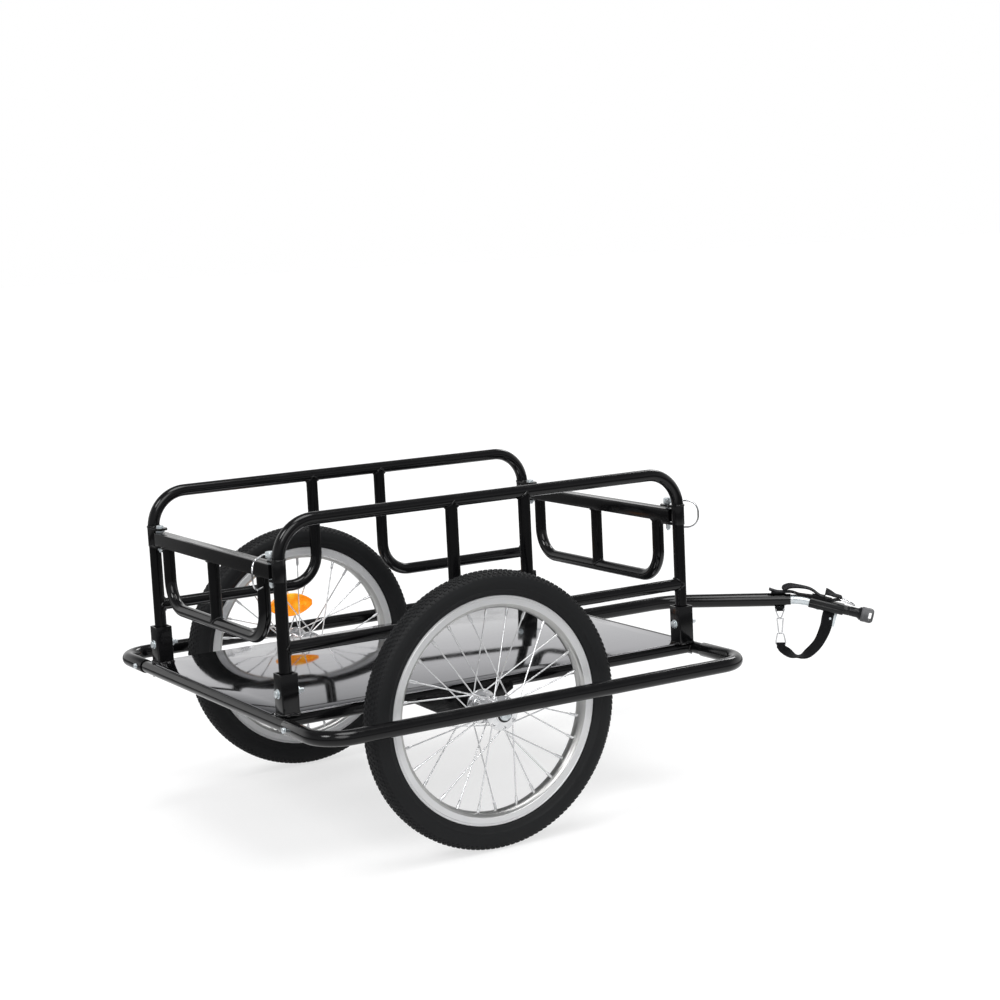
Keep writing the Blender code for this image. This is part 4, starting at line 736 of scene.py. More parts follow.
def make_deck_frame():
    """Cross tubes, rails, wheel guards and the sheet. The left side is the right one mirrored."""
    sleeved = GUARD_END_Y + 0.040
    for end, x, reach in (("rear", REAR_X, sleeved), ("middle", MIDDLE_X, PANEL_Y - TUBE * 0.5),
                          ("front", FRONT_X, sleeved)):
        tube = draw_tube(f"{end}_cross_bar", [place(x, -reach, FRAME_Z), place(x, reach, FRAME_Z)], TUBE)
        finish(tube, "paint", "frame", f"{end}_cross_tube")

    rail = draw_tube("right_rail", [place(REAR_X + TUBE * 0.5, -PANEL_Y, FRAME_Z),
                                    place(FRONT_X - TUBE * 0.5, -PANEL_Y, FRAME_Z)], TUBE)
    guard = draw_tube("right_guard", [place(x, -y, FRAME_Z) for x, y in (
        (REAR_X, GUARD_END_Y), (REAR_X, GUARD_Y), (FRONT_X, GUARD_Y), (FRONT_X, GUARD_END_Y))],
        WIDE_TUBE, GUARD_BEND, bend_step=5)
    for x in (REAR_X, FRONT_X):
        hollow_end(guard, place(x, -GUARD_END_Y, FRAME_Z), (0, 1, 0), WIDE_TUBE - TUBE - 0.0003, 0.043)
    round_edges(guard, 0.0004, 2, 70)
    bolt = bolted("right_guard_screw", *[place(REAR_X + side * WIDE_TUBE, -GUARD_END_Y - 0.015, FRAME_Z)
                                         for side in (-1, 1)], 0.0022, 0.0040, 0.95)
    finish_pair(rail, "paint", "frame", "right_side_rail")
    finish_pair(guard, "paint", "frame", "right_wheel_guard")
    finish_pair(bolt, "zinc", "frame", "right_guard_bolt")

    deck = refined("deck_plate", "deck_sheet", 0.0004, 2)
    # the sheet lies down on the tubes and reaches over the rear one
    gap, overhang = 0.0004, 0.0075
    shift_faces(deck, (0, 0, -gap), lambda middle, normal: normal.z < -0.9)
    rear = place(REAR_X, 0, 0).x
    shift_faces(deck, (-overhang, 0, 0), lambda middle, normal: normal.x < -0.2 and middle.x < rear + 0.009)
    finish(deck, "deck", "frame", "deck_plate")


def make_sockets():
    """Square sockets for the panels' legs, hollowed from the top, each with its bolt."""
    wall, length = 0.0020, SOCKET_HIGH - SOCKET_LOW
    for end, x in LEGS.items():
        middle = place(x, -PANEL_Y, (SOCKET_LOW + SOCKET_HIGH) / 2)
        socket = block(f"{end}_right_socket", middle, (SOCKET_HALF * 2, SOCKET_HALF * 2, length))
        settle(socket)
        pick_edges(socket, lambda a, b: abs(a.z - b.z) > 0.02)
        bpy.ops.mesh.bevel(offset=0.0018, segments=4, affect="EDGES")
        pick_faces(socket, lambda centre, normal: centre.z > AXLE.z + SOCKET_HIGH - 0.001 and normal.z > 0.9)
        sink_picked(wall, (0, 0, wall - length))
        round_edges(socket, 0.0003, 2, 60)
        bolt = bolted(f"{end}_right_leg_screw", place(x - SOCKET_HALF, -PANEL_Y, LEG_BOLT_Z),
                      place(x + SOCKET_HALF, -PANEL_Y, LEG_BOLT_Z), nut=0.0050, thread=0.0058)
        finish_pair(socket, "paint", "frame", f"{end}_right_post_socket")
        finish_pair(bolt, "zinc", "frame", f"{end}_right_leg_bolt")


def make_axle_mounts():
    """The folded brackets with their bosses, and the stub axles with hexagon nuts at both ends."""
    for side in ("right", "left"):
        bracket = refined(f"{side}_axle_bracket", f"{side}_axle_carrier", 0.0008, 3)
        finish(bracket, "paint", "frame", f"{side}_axle_bracket", smooth=40)
    out = Vector((0, -1, 0))
    shank = [(0, 0.1976), (0.0050, 0.1976), (0.0060, 0.1990), (0.0060, 0.3344), (0.0049, 0.3354),
             (0.0016, 0.3354), (0.0016, 0.3340), (0, 0.3340)]
    axle = join("right_axle_bolt", [
        turned("shank", AXLE, out, shank, 32),
        hex_head("inner_nut", place(0, -0.2030, 0), -out, 0.0100, 0.0046),
        disc("inner_washer", place(0, -0.2034, 0), out, 0.0112, WASHER, 32, 0.0002),
        hex_head("outer_nut", place(0, -0.3302, 0), out, 0.0084, 0.0040),
        disc("outer_washer", place(0, -0.3301, 0), out, 0.0086, WASHER, 32, 0.0002)])
    finish_pair(axle, "zinc", "frame", "right_axle")


# Side panels

def make_side_panels():
    """On each side a bent hoop with two infill tubes."""
    y, low = -PANEL_Y, SOCKET_LOW + 0.003
    rear, front = LEGS["rear"], LEGS["front"]
    hoop = draw_tube("right_hoop", [place(rear, y, low), place(rear, y, TOP_Z), place(front, y, TOP_Z),
                                    place(front, y, low)], TUBE, HOOP_BEND, bend_step=5)
    pieces = [(hoop, "right_side_hoop")]
    for end, x in INFILLS.items():
        at_leg = LEGS[end] - math.copysign(TUBE * 0.5, LEGS[end] - x)
        infill = draw_tube(f"right_{end}_infill", [place(x, y, TOP_Z - TUBE * 0.5), place(x, y, INFILL_Z),
                                                   place(at_leg, y, INFILL_Z)], TUBE, INFILL_BEND, bend_step=5)
        pieces.append((infill, f"right_{end}_infill_tube"))
    for piece, node in pieces:
        finish_pair(piece, "paint", "frame", node)


def make_frame_welds():
    """Beads at every joint of the fixed frame, made on the right and mirrored."""
    y = -PANEL_Y
    beads = []
    for end, x in INFILLS.items():
        leg = LEGS[end]
        beads.append(weld_round(place(x, y, TOP_Z), (0, 0, -1), TUBE, (1, 0, 0), TUBE))
        beads.append(weld_round(place(leg, y, INFILL_Z), (x - leg, 0, 0), TUBE, (0, 0, 1), TUBE))
    for x, toward in ((REAR_X, 1), (FRONT_X, -1)):
        beads.append(weld_round(place(x, y, FRAME_Z), (toward, 0, 0), TUBE, (0, 1, 0), TUBE))
    beads.append(weld_round(place(MIDDLE_X, y, FRAME_Z), (0, 1, 0), TUBE, (1, 0, 0), TUBE))
    edge, foot = SOCKET_HALF - 0.0004, SOCKET_LOW + 0.0006
    for x in LEGS.values():
        for a in (-edge, edge):
            beads.append(weld_line(place(x - edge, y + a, foot), place(x + edge, y + a, foot), 0.0019))
            beads.append(weld_line(place(x + a, y - edge, foot), place(x + a, y + edge, foot), 0.0019))
        beads.append(weld_round(place(x, y, BRACKET_TOP), (0, 0, 1), TUBE, bead=0.0014))
    for beside in (y - TUBE - 0.0014, y + TUBE + 0.0014):
        beads.append(weld_line(place(-0.070, beside, FRAME_Z), place(0.070, beside, FRAME_Z)))
    beads.append(weld_round(place(0, y - 0.0130, 0), (0, -1, 0), 0.0121, bead=0.0013))
    finish_pair(join("right_frame_welds", beads), "paint", "frame", smooth=80)


# Gates

def make_gates():
    for end, x in LEGS.items():
        body = f"{end}_gate"
        bar = refined(f"{end}_gate_bar", f"{end}_gate_beam", 0.0020, 3, 50)
        near_catch = place(x, -PIVOT_Y, GATE_Z).y - 0.0070
        shift_faces(bar, (0, -GATE_REACH, 0), lambda middle, normal: middle.y < near_catch)
        finish(bar, "paint", body, f"{end}_gate_bar", smooth=40)
        top = GATE_Z - GATE_HALF_BAR
        loop = draw_tube(f"{end}_gate_hoop", [place(x, y, z) for y, z in (
            (GATE_TUBE_Y, top), (GATE_TUBE_Y, GATE_LOW), (-GATE_TUBE_Y, GATE_LOW), (-GATE_TUBE_Y, top))],
            TUBE, GATE_BEND, bend_step=5)
        finish(loop, "paint", body, f"{end}_gate_loop")
        post = draw_tube(f"{end}_gate_post", [place(x, 0, top), place(x, 0, GATE_LOW + TUBE * 0.5)], TUBE * 0.98)
        finish(post, "paint", body)
        beads = [weld_round(place(x, y, top - 0.0004), -UP, TUBE, bead=GATE_BEAD)
                 for y in (-GATE_TUBE_Y, 0, GATE_TUBE_Y)]
        beads.append(weld_round(place(x, 0, GATE_LOW), (0, 0, 1), TUBE, (0, 1, 0), TUBE, bead=GATE_BEAD))
        finish(join(f"{end}_gate_welds", beads), "paint", body, smooth=80)

        for kind, shown, leg_y in (("hinge_bracket", "hinge_plates", PANEL_Y), ("catch", "catch_plates", -PANEL_Y)):
            plates = refined(f"{end}_gate_{kind}", f"{end}_gate_{shown}", 0.0005, 2)
            leg = place(x, leg_y, GATE_Z)
            pick_edges(plates, lambda a, b: max((a - leg).xy.length, (b - leg).xy.length) < COLLAR_REACH)
            scale_picked((COLLAR_FIT, COLLAR_FIT, 1), leg)
            finish(plates, "paint", "frame", f"{end}_gate_{kind}", smooth=40)
        name = f"{end}_gate_hinge_screw"
        hinge = bolted(name, place(x, PIVOT_Y, BRACKET_TOP), place(x, PIVOT_Y, BRACKET_LOW), 0.0035, 0.0054, 1.05)
        spacer = disc("spacer", place(x, PIVOT_Y, GATE_Z + 0.0114), UP, 0.0065, 0.0028, 32, 0.0004)
        finish(join(name, [hinge, spacer]), "zinc", "frame", f"{end}_gate_hinge_bolt")
        make_lock_pin(end, x)


def make_lock_pin(end, x):
    """The pin that drops through the gate's beam, and the wire bow it is pulled by."""
    seat = BRACKET_TOP + 0.0003
    tip = BRACKET_LOW - 0.0110
    eye_height = 0.00425
    profile = [(0, tip), (0.0016, tip), (0.0034, tip + 0.0034), (0.0035, seat), (0.0056, seat),
               (0.0061, seat + 0.0006), (0.0061, seat + 0.0073), (0.0057, seat + 0.0081),
               (0.0049, seat + 0.0085), (0, seat + 0.0085)]
    pin = turned(f"{end}_locking_pin", place(x, -PIVOT_Y, 0), UP, profile, 40)
    outward = math.copysign(1, x)
    out = Vector((outward, -1, 0)).normalized()
    off = Vector((outward, 1, 0)).normalized()
    eye = place(x, -PIVOT_Y, seat + eye_height)
    cut_away(pin, draw_tube("drill", [eye - off * 0.01, eye + off * 0.01], 0.0017, sides=16))
    finish(pin, "zinc", f"{end}_lock_pin", f"{end}_lock_pin")
    plane = eye + off * 0.0093
    low = UP * (tip + 0.0030 - seat - eye_height)
    corners = [eye - off * 0.0075, plane, plane + out * BOW_REACH - UP * 0.0030, plane + out * BOW_REACH + low,
               plane + out * 0.010 + low]
    bow = draw_tube(f"{end}_locking_bow", corners, BOW_WIRE, [0.0026, 0.0165, 0.0165], 16, bend_step=6)
    round_edges(bow, 0.0004, 2, 70)
    finish(bow, "chrome", f"{end}_lock_bow", f"{end}_lock_bow")


# Wheels

def both_flanks(half):
    """A wheel's section from one half of it, as (radius, along) pairs."""
    return half + [(radius, -y) for radius, y in reversed(half) if y]


# casing from crown to bead, with a moulded line on the side wall and one at the shoulder
TYRE_SECTION = both_flanks([
    (0.1914, 0.0), (0.1912, 0.0050), (0.1904, 0.0095), (0.1883, 0.0138), (0.1859, 0.0161), (0.1848, 0.0172),
    (0.1838, 0.0176), (0.1822, 0.0178), (0.1800, 0.0186), (0.1765, 0.0189), (0.1725, 0.0187), (0.1690, 0.0179),
    (0.1684, 0.0181), (0.1678, 0.0180), (0.1673, 0.0172), (0.1645, 0.0160), (0.1618, 0.0145), (0.1604, 0.0140),
    (0.1596, 0.0132), (0.1594, 0.0110), (0.1592, 0.0091), (0.1530, 0.0088)])
# hooked flanges, braking flats, bead seats and the curved spoke bed
RIM_SECTION = both_flanks([
    (0.1526, 0.0), (0.1520, 0.0060), (0.1526, 0.0088), (0.1575, 0.0090), (0.1584, 0.0094), (0.1588, 0.0102),
    (0.1584, 0.0109), (0.1572, 0.0110), (0.1564, 0.0104), (0.1558, 0.0104), (0.1550, 0.0110), (0.1472, 0.0110),
    (0.1466, 0.0102), (0.1446, 0.0094), (0.1424, 0.0072), (0.1409, 0.0042), (0.1405, 0.0)])
# barrel with an end cap and a flange at each side, from its right end to its middle
HUB_SECTION = both_flanks([
    (0.0066, 0.0340), (0.0112, 0.0340), (0.0122, 0.0332), (0.0125, 0.0304), (0.0150, 0.0290), (0.0230, 0.0288),
    (0.0238, 0.0283), (0.0240, 0.0272), (0.0238, 0.0260), (0.0230, 0.0253), (0.0170, 0.0250), (0.0152, 0.0238),
    (0.0146, 0.0215), (0.0140, 0.0120), (0.0139, 0.0)])
SEAL_SECTION = [(0.0070, 0.0330), (0.0070, 0.0343), (0.0080, 0.0345), (0.0108, 0.0345), (0.0114, 0.0341),
                (0.0114, 0.0330)]
VALVE_SECTION = [(0, 0.1150), (0.0026, 0.1150), (0.0034, 0.1158), (0.0034, 0.1245), (0.0028, 0.1250),
                 (0.0028, 0.1262), (0.0040, 0.1270), (0.0042, 0.1420), (0, 0.1420)]


def make_tread(centre):
    """Staggered rows of small blocks: one of each is shaped, then the set is spun round the axle."""
    pitch = 2 * math.pi / TREAD_BLOCKS
    height = 0.0024
    # from the middle outwards: y, shift in pitches, tilt in degrees, length, width, radius
    rows = [(0.0, 0.0, 0.0, 0.0044, 0.0050, 0.1912), (0.0060, 0.5, 7, 0.0042, 0.0056, 0.1909),
            (0.0116, 0.0, 20, 0.0042, 0.0050, 0.1894), (0.0154, 0.5, 42, 0.0036, 0.0030, 0.1864)]
    blocks = []
    for y, shift, tilt, length, width, crown in rows:
        for side in ((1, -1) if y else (1,)):
            angle = shift * pitch
            spot = centre + Vector((crown * math.sin(angle), side * y, crown * math.cos(angle)))
            turn = Matrix.Rotation(angle, 3, "Y") @ Matrix.Rotation(math.radians(-side * tilt), 3, "X")
            piece = block("tread_block", spot, (length, width, height), turn.to_euler())
            up = turn @ UP
            pick_faces(piece, lambda middle, normal: normal.dot(up) > 0.9)
            scale_picked((0.78, 0.82, 1.0), spot + up * height / 2)
            blocks.append(piece)
    return spin_copies(settle(join("right_tread", blocks)), centre, TREAD_BLOCKS)


def spoke_ends(index):
    """Hub hole, side of the flange the spoke leaves on, and rim end, for the right wheel."""
    rim_angle = 2 * math.pi * index / SPOKES
    flange = 1 if index % 2 else -1
    lead = 1 if (index // 2) % 2 else -1
    hub_angle = rim_angle + lead * (2 * math.pi * 2 / (SPOKES / 2) - math.pi / SPOKES)
    hole = Vector((SPOKE_CIRCLE * math.sin(hub_angle), -flange * FLANGE_Y, SPOKE_CIRCLE * math.cos(hub_angle)))
    outside = Vector((0, -flange * lead, 0))
    rim = Vector((NIPPLE_CIRCLE * math.sin(rim_angle), -flange * (0.002 + lead * 0.001),
                  NIPPLE_CIRCLE * math.cos(rim_angle)))
    return hole, outside, rim


def make_spokes(centre):
    """Four spokes with their heads, elbows and nipples, spun round to make all of them."""
    parts = []
    for index in range(4):
        hole, outside, rim = spoke_ends(index)
        hole, rim = centre + hole, centre + rim
        elbow = hole + outside * 0.0026
        back = (elbow - rim).normalized()
        parts += [draw_tube("spoke", [hole - outside * 0.0030, elbow, rim], SPOKE, 0.0018, 8, bend_step=22),
                  disc("spoke_head", hole - outside * 0.0024, outside, 0.0019, 0.0012, 10, 0.0003),
                  draw_tube("nipple", [rim - back * 0.0014, rim + back * 0.0085], 0.0021, sides=10,
                            neck=(0.0030, 0.0013))]
    return spin_copies(settle(join("right_spokes", parts)), centre, SPOKES // 4)


def make_wheels():
    """The right wheel is modelled and the left one is its mirror image."""
    centre = place(0, -TRACK / 2, 0)
    axis = (0, 1, 0)
    hub = turned("right_hub", centre, axis, HUB_SECTION, 56, closed=True)
    seals = [turned("seal", centre, axis, [(radius, side * y) for radius, y in SEAL_SECTION], 40, closed=True)
             for side in (1, -1)]
    seal = join("right_hub_seals", seals)
    tyre = turned("right_casing", centre, axis, TYRE_SECTION, 144, closed=True)
    rim = turned("right_hoop_rim", centre, axis, RIM_SECTION, 128, closed=True)
    valve = turned("right_valve", centre, (math.sin(VALVE_ANGLE), 0, math.cos(VALVE_ANGLE)), VALVE_SECTION, 20)
    for piece, surface, smooth, *nodes in (
            (tyre, "rubber", 50, "right_tyre"), (make_tread(centre), "rubber", 30),
            (rim, "right_alloy", 24, "right_rim"), (hub, "hub", 40, "right_hub_and_spokes"),
            (make_spokes(centre), "steel", 50), (seal, "seal", 40), (valve, "seal", 40)):
        finish_pair(piece, surface, "right_wheel", *nodes, smooth=smooth)
    make_reflector()


def make_reflector():
    """A pointed oval lens with a raised face, on two clips that reach the inner spokes."""
    centre = place(-0.0187, TRACK / 2 - 0.004, 0.068)
    length, height, tip = 0.041, 0.018, 0.004
    radius = (length ** 2 + height ** 2) / (2 * height)
    reach = math.asin((length - tip) / radius)
    upper = [(radius * math.sin(reach * (1 - i / 12)), radius * math.cos(reach * (1 - i / 12)) + height - radius)
             for i in range(25)]
    outline = upper + [(-x, -z) for x, z in upper]
    lens = cut_plate("left_lens", [centre + Vector((x, -0.0040, z)) for x, z in outline], (0, 0.0080, 0))
    for side in (-1, 1):
        pick_faces(lens, lambda middle, normal: normal.y * side > 0.9)
        sink_picked(0.0026, (0, -side * 0.0006, 0))
    close_up(lens)
    round_edges(lens, 0.0009, 3, 50)
    low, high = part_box("left_wheel_reflector")
    finish(lens, "amber", "left_wheel", "left_wheel_reflector", smooth=40)
    # the clips take the lens's amber with its painted glow
    clips = [disc("clip", (x, centre.y - 0.0060, centre.z), (0, 1, 0), 0.0034, 0.0048, 20, 0.0006)
             for x in (low.x + 0.016, high.x - 0.016)]
    finish(join("left_lens_clips", clips), "amber", "left_wheel", smooth=40)


# Drawbar and coupler

def make_drawbar():
    ends = [place(x, DRAWBAR_Y, DRAWBAR_Z) for x in (RECEIVER_REAR, RECEIVER_FRONT)]
    receiver = draw_tube("drawbar_socket", ends, RECEIVER_RADIUS)
    for end, way in zip(ends, (-1, 1)):
        hollow_end(receiver, end, (way, 0, 0), 0.0021, 0.10)
    round_edges(receiver, 0.0004, 2, 70)
    finish(receiver, "paint", "frame", "drawbar_receiver")
    end = AXLE + DRAWBAR_END
    bar = draw_tube("drawbar_tube", [place(0.150, DRAWBAR_Y, DRAWBAR_Z), AXLE + KNEE, end - HEADING * 0.0120],
                    DRAWBAR_RADIUS, 0.090, bend_step=4, neck=(0.0050, 0.0096))
    lip = HEADING * 0.007
    neck_end = end - lip
    pick_faces(bar, lambda middle, normal: (middle - neck_end).length < 0.001 and normal.dot(HEADING) > 0.95)
    extrude(lip)
    to_object_mode()
    hollow_end(bar, end, HEADING, 0.0012, 0.012)
    round_edges(bar, 0.0003, 2, 60)
    finish(bar, "paint", "frame", "drawbar")
    bolt = bolted("drawbar_screw", *[place(0.300, DRAWBAR_Y, DRAWBAR_Z + way * RECEIVER_RADIUS) for way in (-1, 1)])
    finish(bolt, "zinc", "frame", "drawbar_bolt")
    beads = [weld_line(*[place(x + along, DRAWBAR_Y + beside, DRAWBAR_Z + 0.0128) for along in (-0.007, 0.007)])
             for x in (MIDDLE_X, FRONT_X - 0.014) for beside in (-0.0064, 0.0064)]
    finish(join("drawbar_welds", beads), "paint", "frame", smooth=80)


def make_coupler():
    """Zinc sleeve, nylon block with grooved sides, its neck, and the swivelling cap."""
    route = [at_hitch(-0.011), at_hitch(SLEEVE_BEND * math.tan(PITCH / 2)), on_coupler(0.0515)]
    sleeve = draw_tube("coupler_tube", route, SLEEVE_RADIUS, SLEEVE_BEND, 40, bend_step=1.5)
    finish(sleeve, "zinc", "frame", "coupler_sleeve")
    half_width, half_height, edge, groove = 0.0115, 0.0088, 0.0030, 0.0015
    right = [(half_width, -half_height + edge), (half_width, -groove), (half_width - groove, 0),
             (half_width, groove), (half_width, half_height - edge), (half_width - edge, half_height)]
    section = [(half_width - edge, -half_height)] + right + [(-half_width + edge, half_height)]
    section += [(-x, up) for x, up in reversed(right[:-1])] + [(-half_width + edge, -half_height)]
    rear, length = 0.032, 0.060
    body = cut_plate("coupler_body", [on_coupler(rear, up, x) for x, up in section], COUPLER_AHEAD * length)
    round_edges(body, 0.0007, 3, 20)
    lower = on_coupler(rear)
    pick_faces(body, lambda middle, normal: normal.dot(COUPLER_AHEAD) < -0.95 and (middle - lower).length < 0.003)
    sink_picked(0.0012, COUPLER_AHEAD * 0.0008)
    neck = turned("coupler_neck", on_coupler(0), COUPLER_AHEAD, [
        (0, 0.0890), (0.0079, 0.0890), (0.0084, 0.0940), (0.0083, 0.1010), (0.0079, 0.1016), (0.0079, 0.1030),
        (0.0083, 0.1036), (0.0083, 0.1160), (0.0088, 0.1174), (0.0098, 0.1188), (0.0111, 0.1202), (0.0116, 0.1210),
        (0.0114, 0.1216), (0.0050, 0.1216), (0.0050, 0.1300), (0, 0.1300)], 40)
    finish(join("coupler_clamp", [body, neck]), "nylon", "frame", "coupler_block", smooth=40)
    screw = turned("clamp_screw", on_coupler(0.0490), -COUPLER_UP, [
        (0, 0.0080), (0.0036, 0.0080), (0.0036, 0.0100), (0.0031, 0.0106), (0.0016, 0.0110), (0, 0.0110)], 24)
    finish(screw, "zinc", "frame")
    cap = turned("swivel_cap", on_coupler(0), COUPLER_AHEAD, [
        (0, 0.1320), (0.0055, 0.1320), (0.0055, 0.1220), (0.0102, 0.1220), (0.0114, 0.1224), (0.0125, 0.1238),
        (0.0128, 0.1246), (0.0128, 0.1300), (0.0125, 0.1304), (0.0125, 0.1316), (0.0128, 0.1320), (0.0128, 0.1391),
        (0.0121, 0.1410), (0.0104, 0.1431), (0.0095, 0.1437), (0, 0.1440)], 56)
    turn = Matrix((COUPLER_AHEAD, SIDEWAYS, COUPLER_UP)).transposed().to_euler()
    cut_away(cap, round_edges(block("slot", on_coupler(0.1382), (0.0065, 0.06, 0.0140), turn), 0.0016, 3))
    finish(cap, "plastic", "hitch_cap", "hitch_cap", smooth=30)


# Straps

def smooth_path(points, steps):
    """A smooth curve through the points, or through plain values."""
    made = []
    ends = [points[0] * 2 - points[1]] + list(points) + [points[-1] * 2 - points[-2]]
    for a, b, c, d in zip(ends, ends[1:], ends[2:], ends[3:]):
        for t in [step / steps for step in range(steps)]:
            made.append(0.5 * (b * 2 + (c - a) * t + (a * 2 - b * 5 + c * 4 - d) * t * t
                               + (b * 3 - a - c * 3 + d) * t * t * t))
    return made + [points[-1]]


def round_wire(first, last, step):
    """Sine and cosine for each step of a strap's fold round a wire, in degrees."""
    return [(math.sin(math.radians(a)), math.cos(math.radians(a))) for a in range(first, last, step)]


HALF_ROUND = round_wire(0, 181, 15)


def heading_at(points, i):
    return (points[min(i + 1, len(points) - 1)] - points[max(i - 1, 0)]).normalized()


def twisted(points, degrees):
    """For each point of a path over the hitch, the direction of the strap's width."""
    across = []
    for i, angle in enumerate(degrees):
        turn = math.radians(angle)
        upright = heading_at(points, i).cross(SIDEWAYS).normalized()
        across.append(SIDEWAYS * math.cos(turn) + upright * math.sin(turn))
    return across


def strap_frames(points, across_list):
    """For each point of a strap's path: the point, its width direction and its upper side."""
    frames = []
    for i, (point, across) in enumerate(zip(points, across_list)):
        along = heading_at(points, i)
        across = (across - along * across.dot(along)).normalized()
        frames.append((point, across, across.cross(along)))
    return frames


def sew_strap(name, points, across_list, widths):
    """Flat webbing along a path, with a map that runs along it and across it in metres."""
    if isinstance(across_list, Vector):
        across_list = [across_list] * len(points)
    if isinstance(widths, float):
        widths = [widths] * len(points)
    columns = (-0.5, -0.46, -0.25, 0.0, 0.25, 0.46, 0.5)
    vertices, faces, lengths = [], [], [0.0]
    for before, after in zip(points, points[1:]):
        lengths.append(lengths[-1] + (after - before).length)
    for (point, across, _), width in zip(strap_frames(points, across_list), widths):
        vertices += [point + across * (column * width) for column in columns]
    size = len(columns)
    for corner in range(0, size * (len(points) - 1), size):
        faces += [(k, k + 1, k + size + 1, k + size) for k in range(corner, corner + size - 1)]
    mesh = bpy.data.meshes.new(name)
    mesh.from_pydata(vertices, [], faces)
    obj = bpy.data.objects.new(name, mesh)
    bpy.context.scene.collection.objects.link(obj)
    layer = mesh.uv_layers.new(name="strap")
    for loop in mesh.loops:
        i, k = divmod(loop.vertex_index, size)
        layer.data[loop.index].uv = (lengths[i], columns[k] * widths[i])
    apply_modifier(obj, "SOLIDIFY", thickness=STRAP, offset=0.0)
    return round_edges(obj, 0.0005, 2, 50)


def stitch_rows(points, across_list, offset, rise=-STRAP / 2):
    """Small raised stitches along a strap, a set distance from its middle line."""
    stitches = []
    walked = 0.0
    for (point, across, normal), after in zip(strap_frames(points, across_list), points[1:]):
        walked += (after - point).length
        if walked < 0.0034:
            continue
        walked = 0.0
        turn = Matrix(((after - point).normalized(), across, normal)).transposed().to_euler()
        stitches.append(block("stitch", point + across * offset + normal * rise, (0.0023, 0.0006, 0.0006), turn))
    return stitches


def make_coupler_strap():
    """The layers on the drawbar, sleeve and block, the loose arch and tails, and the fold that holds the hook."""
    layer, lift, steps = STRAP - 0.0001, 0.0003, 6
    lower = [at_hitch(-0.033, ON_TUBE), at_hitch(-0.0165, ON_TUBE), at_hitch(0.0012, ON_TUBE),
             on_sleeve(0.013, ON_SLEEVE + lift * 2), on_sleeve(0.024, ON_SLEEVE + lift),
             on_coupler(0.036, ON_BLOCK), on_coupler(0.056, ON_BLOCK), on_coupler(0.068, ON_BLOCK + lift),
             on_coupler(0.075, 0.0135)]
    wire = on_coupler(*LINK_AT)
    fold = [wire + COUPLER_AHEAD * (STRAP_FOLD * sine) + COUPLER_UP * (STRAP_FOLD * cosine)
            for sine, cosine in round_wire(200, -1, -20)]
    curve = smooth_path(lower, steps) + fold
    tail = [on_coupler(0.0722, 0.0206), on_coupler(0.0642, 0.0226), on_coupler(0.0549, 0.0238)]
    tail = smooth_path(fold[-1:] + tail, steps)[1:]
    tail_across = twisted(tail, smooth_path([0, -6, -14, -24], steps)[1:])
    widths = smooth_path([0.0200, 0.0200, 0.0185, 0.0150, 0.0150, 0.0190, 0.0200, 0.0200, 0.0200], steps)
    layers = [sew_strap("coupler_strap_layer", curve + tail, [SIDEWAYS] * len(curve) + tail_across,
                        widths + [STRAP_WIDTH] * (len(curve) + len(tail) - len(widths)))]
    pad = [on_coupler(0.0345 + 0.0345 * i / 12, ON_BLOCK + layer) for i in range(13)]
    layers.append(sew_strap("coupler_strap_pad", pad, SIDEWAYS, 0.0184))
    route = ((-0.0080, 0.0158, 10), (-0.0108, 0.0196, 20), (-0.0020, 0.0234, 16), (0.0090, 0.0230, 8),
             (0.0200, 0.0214, 3), (0.0320, 0.0184, 0), (0.0400, 0.0138, 0))
    arch = smooth_path([at_hitch(-0.001, ON_TUBE + lift)] + [at_hitch(s, u) for s, u, _ in route]
                       + [on_coupler(ahead, ON_BLOCK + layer * 2) for ahead in (0.0470, 0.0570)], steps)
    arch_across = twisted(arch, smooth_path([0] + [angle for _, _, angle in route] + [0, 0], steps))
    layers.append(sew_strap("coupler_strap_arch", arch, arch_across, 0.0194))
    flap = smooth_path([at_hitch(-0.010, ON_TUBE + lift), at_hitch(-0.022, ON_TUBE + lift * 3),
                        at_hitch(-0.030, 0.0165), at_hitch(-0.0365, 0.0190)], steps)
    layers.append(sew_strap("coupler_strap_flap", flap, SIDEWAYS, 0.0188))
    patch = [at_hitch(EYE_S + (i - 3) * 0.0028, -ON_TUBE) for i in range(7)]
    layers.append(sew_strap("hook_patch", patch, SIDEWAYS, 0.0160))
    hold = [at_hitch(EYE_S, -ON_TUBE, -STRAP_FOLD)]
    hold += [at_hitch(EYE_S, HOOK_TOP - STRAP_FOLD * sine, -STRAP_FOLD * cosine)
             for sine, cosine in HALF_ROUND]
    hold.append(at_hitch(EYE_S, -ON_TUBE, STRAP_FOLD))
    layers.append(sew_strap("hook_hold", hold, HEADING, 0.0115))
    finish(join("joint_strap", layers), "webbing", "frame", "coupler_strap", smooth=50)
    sewn = smooth_path([on_coupler(ahead, ON_BLOCK + layer) for ahead in (0.036, 0.052, 0.068)], 16)
    stitches = []
    for offset in (-0.0076, 0.0076):
        stitches += stitch_rows(sewn, [SIDEWAYS] * len(sewn), offset)
        stitches += stitch_rows(arch[10:-14], arch_across[10:-14], offset)
        stitches += stitch_rows(tail, tail_across, offset)
    finish(join("joint_strap_stitches", stitches), "thread", "frame", smooth=30)


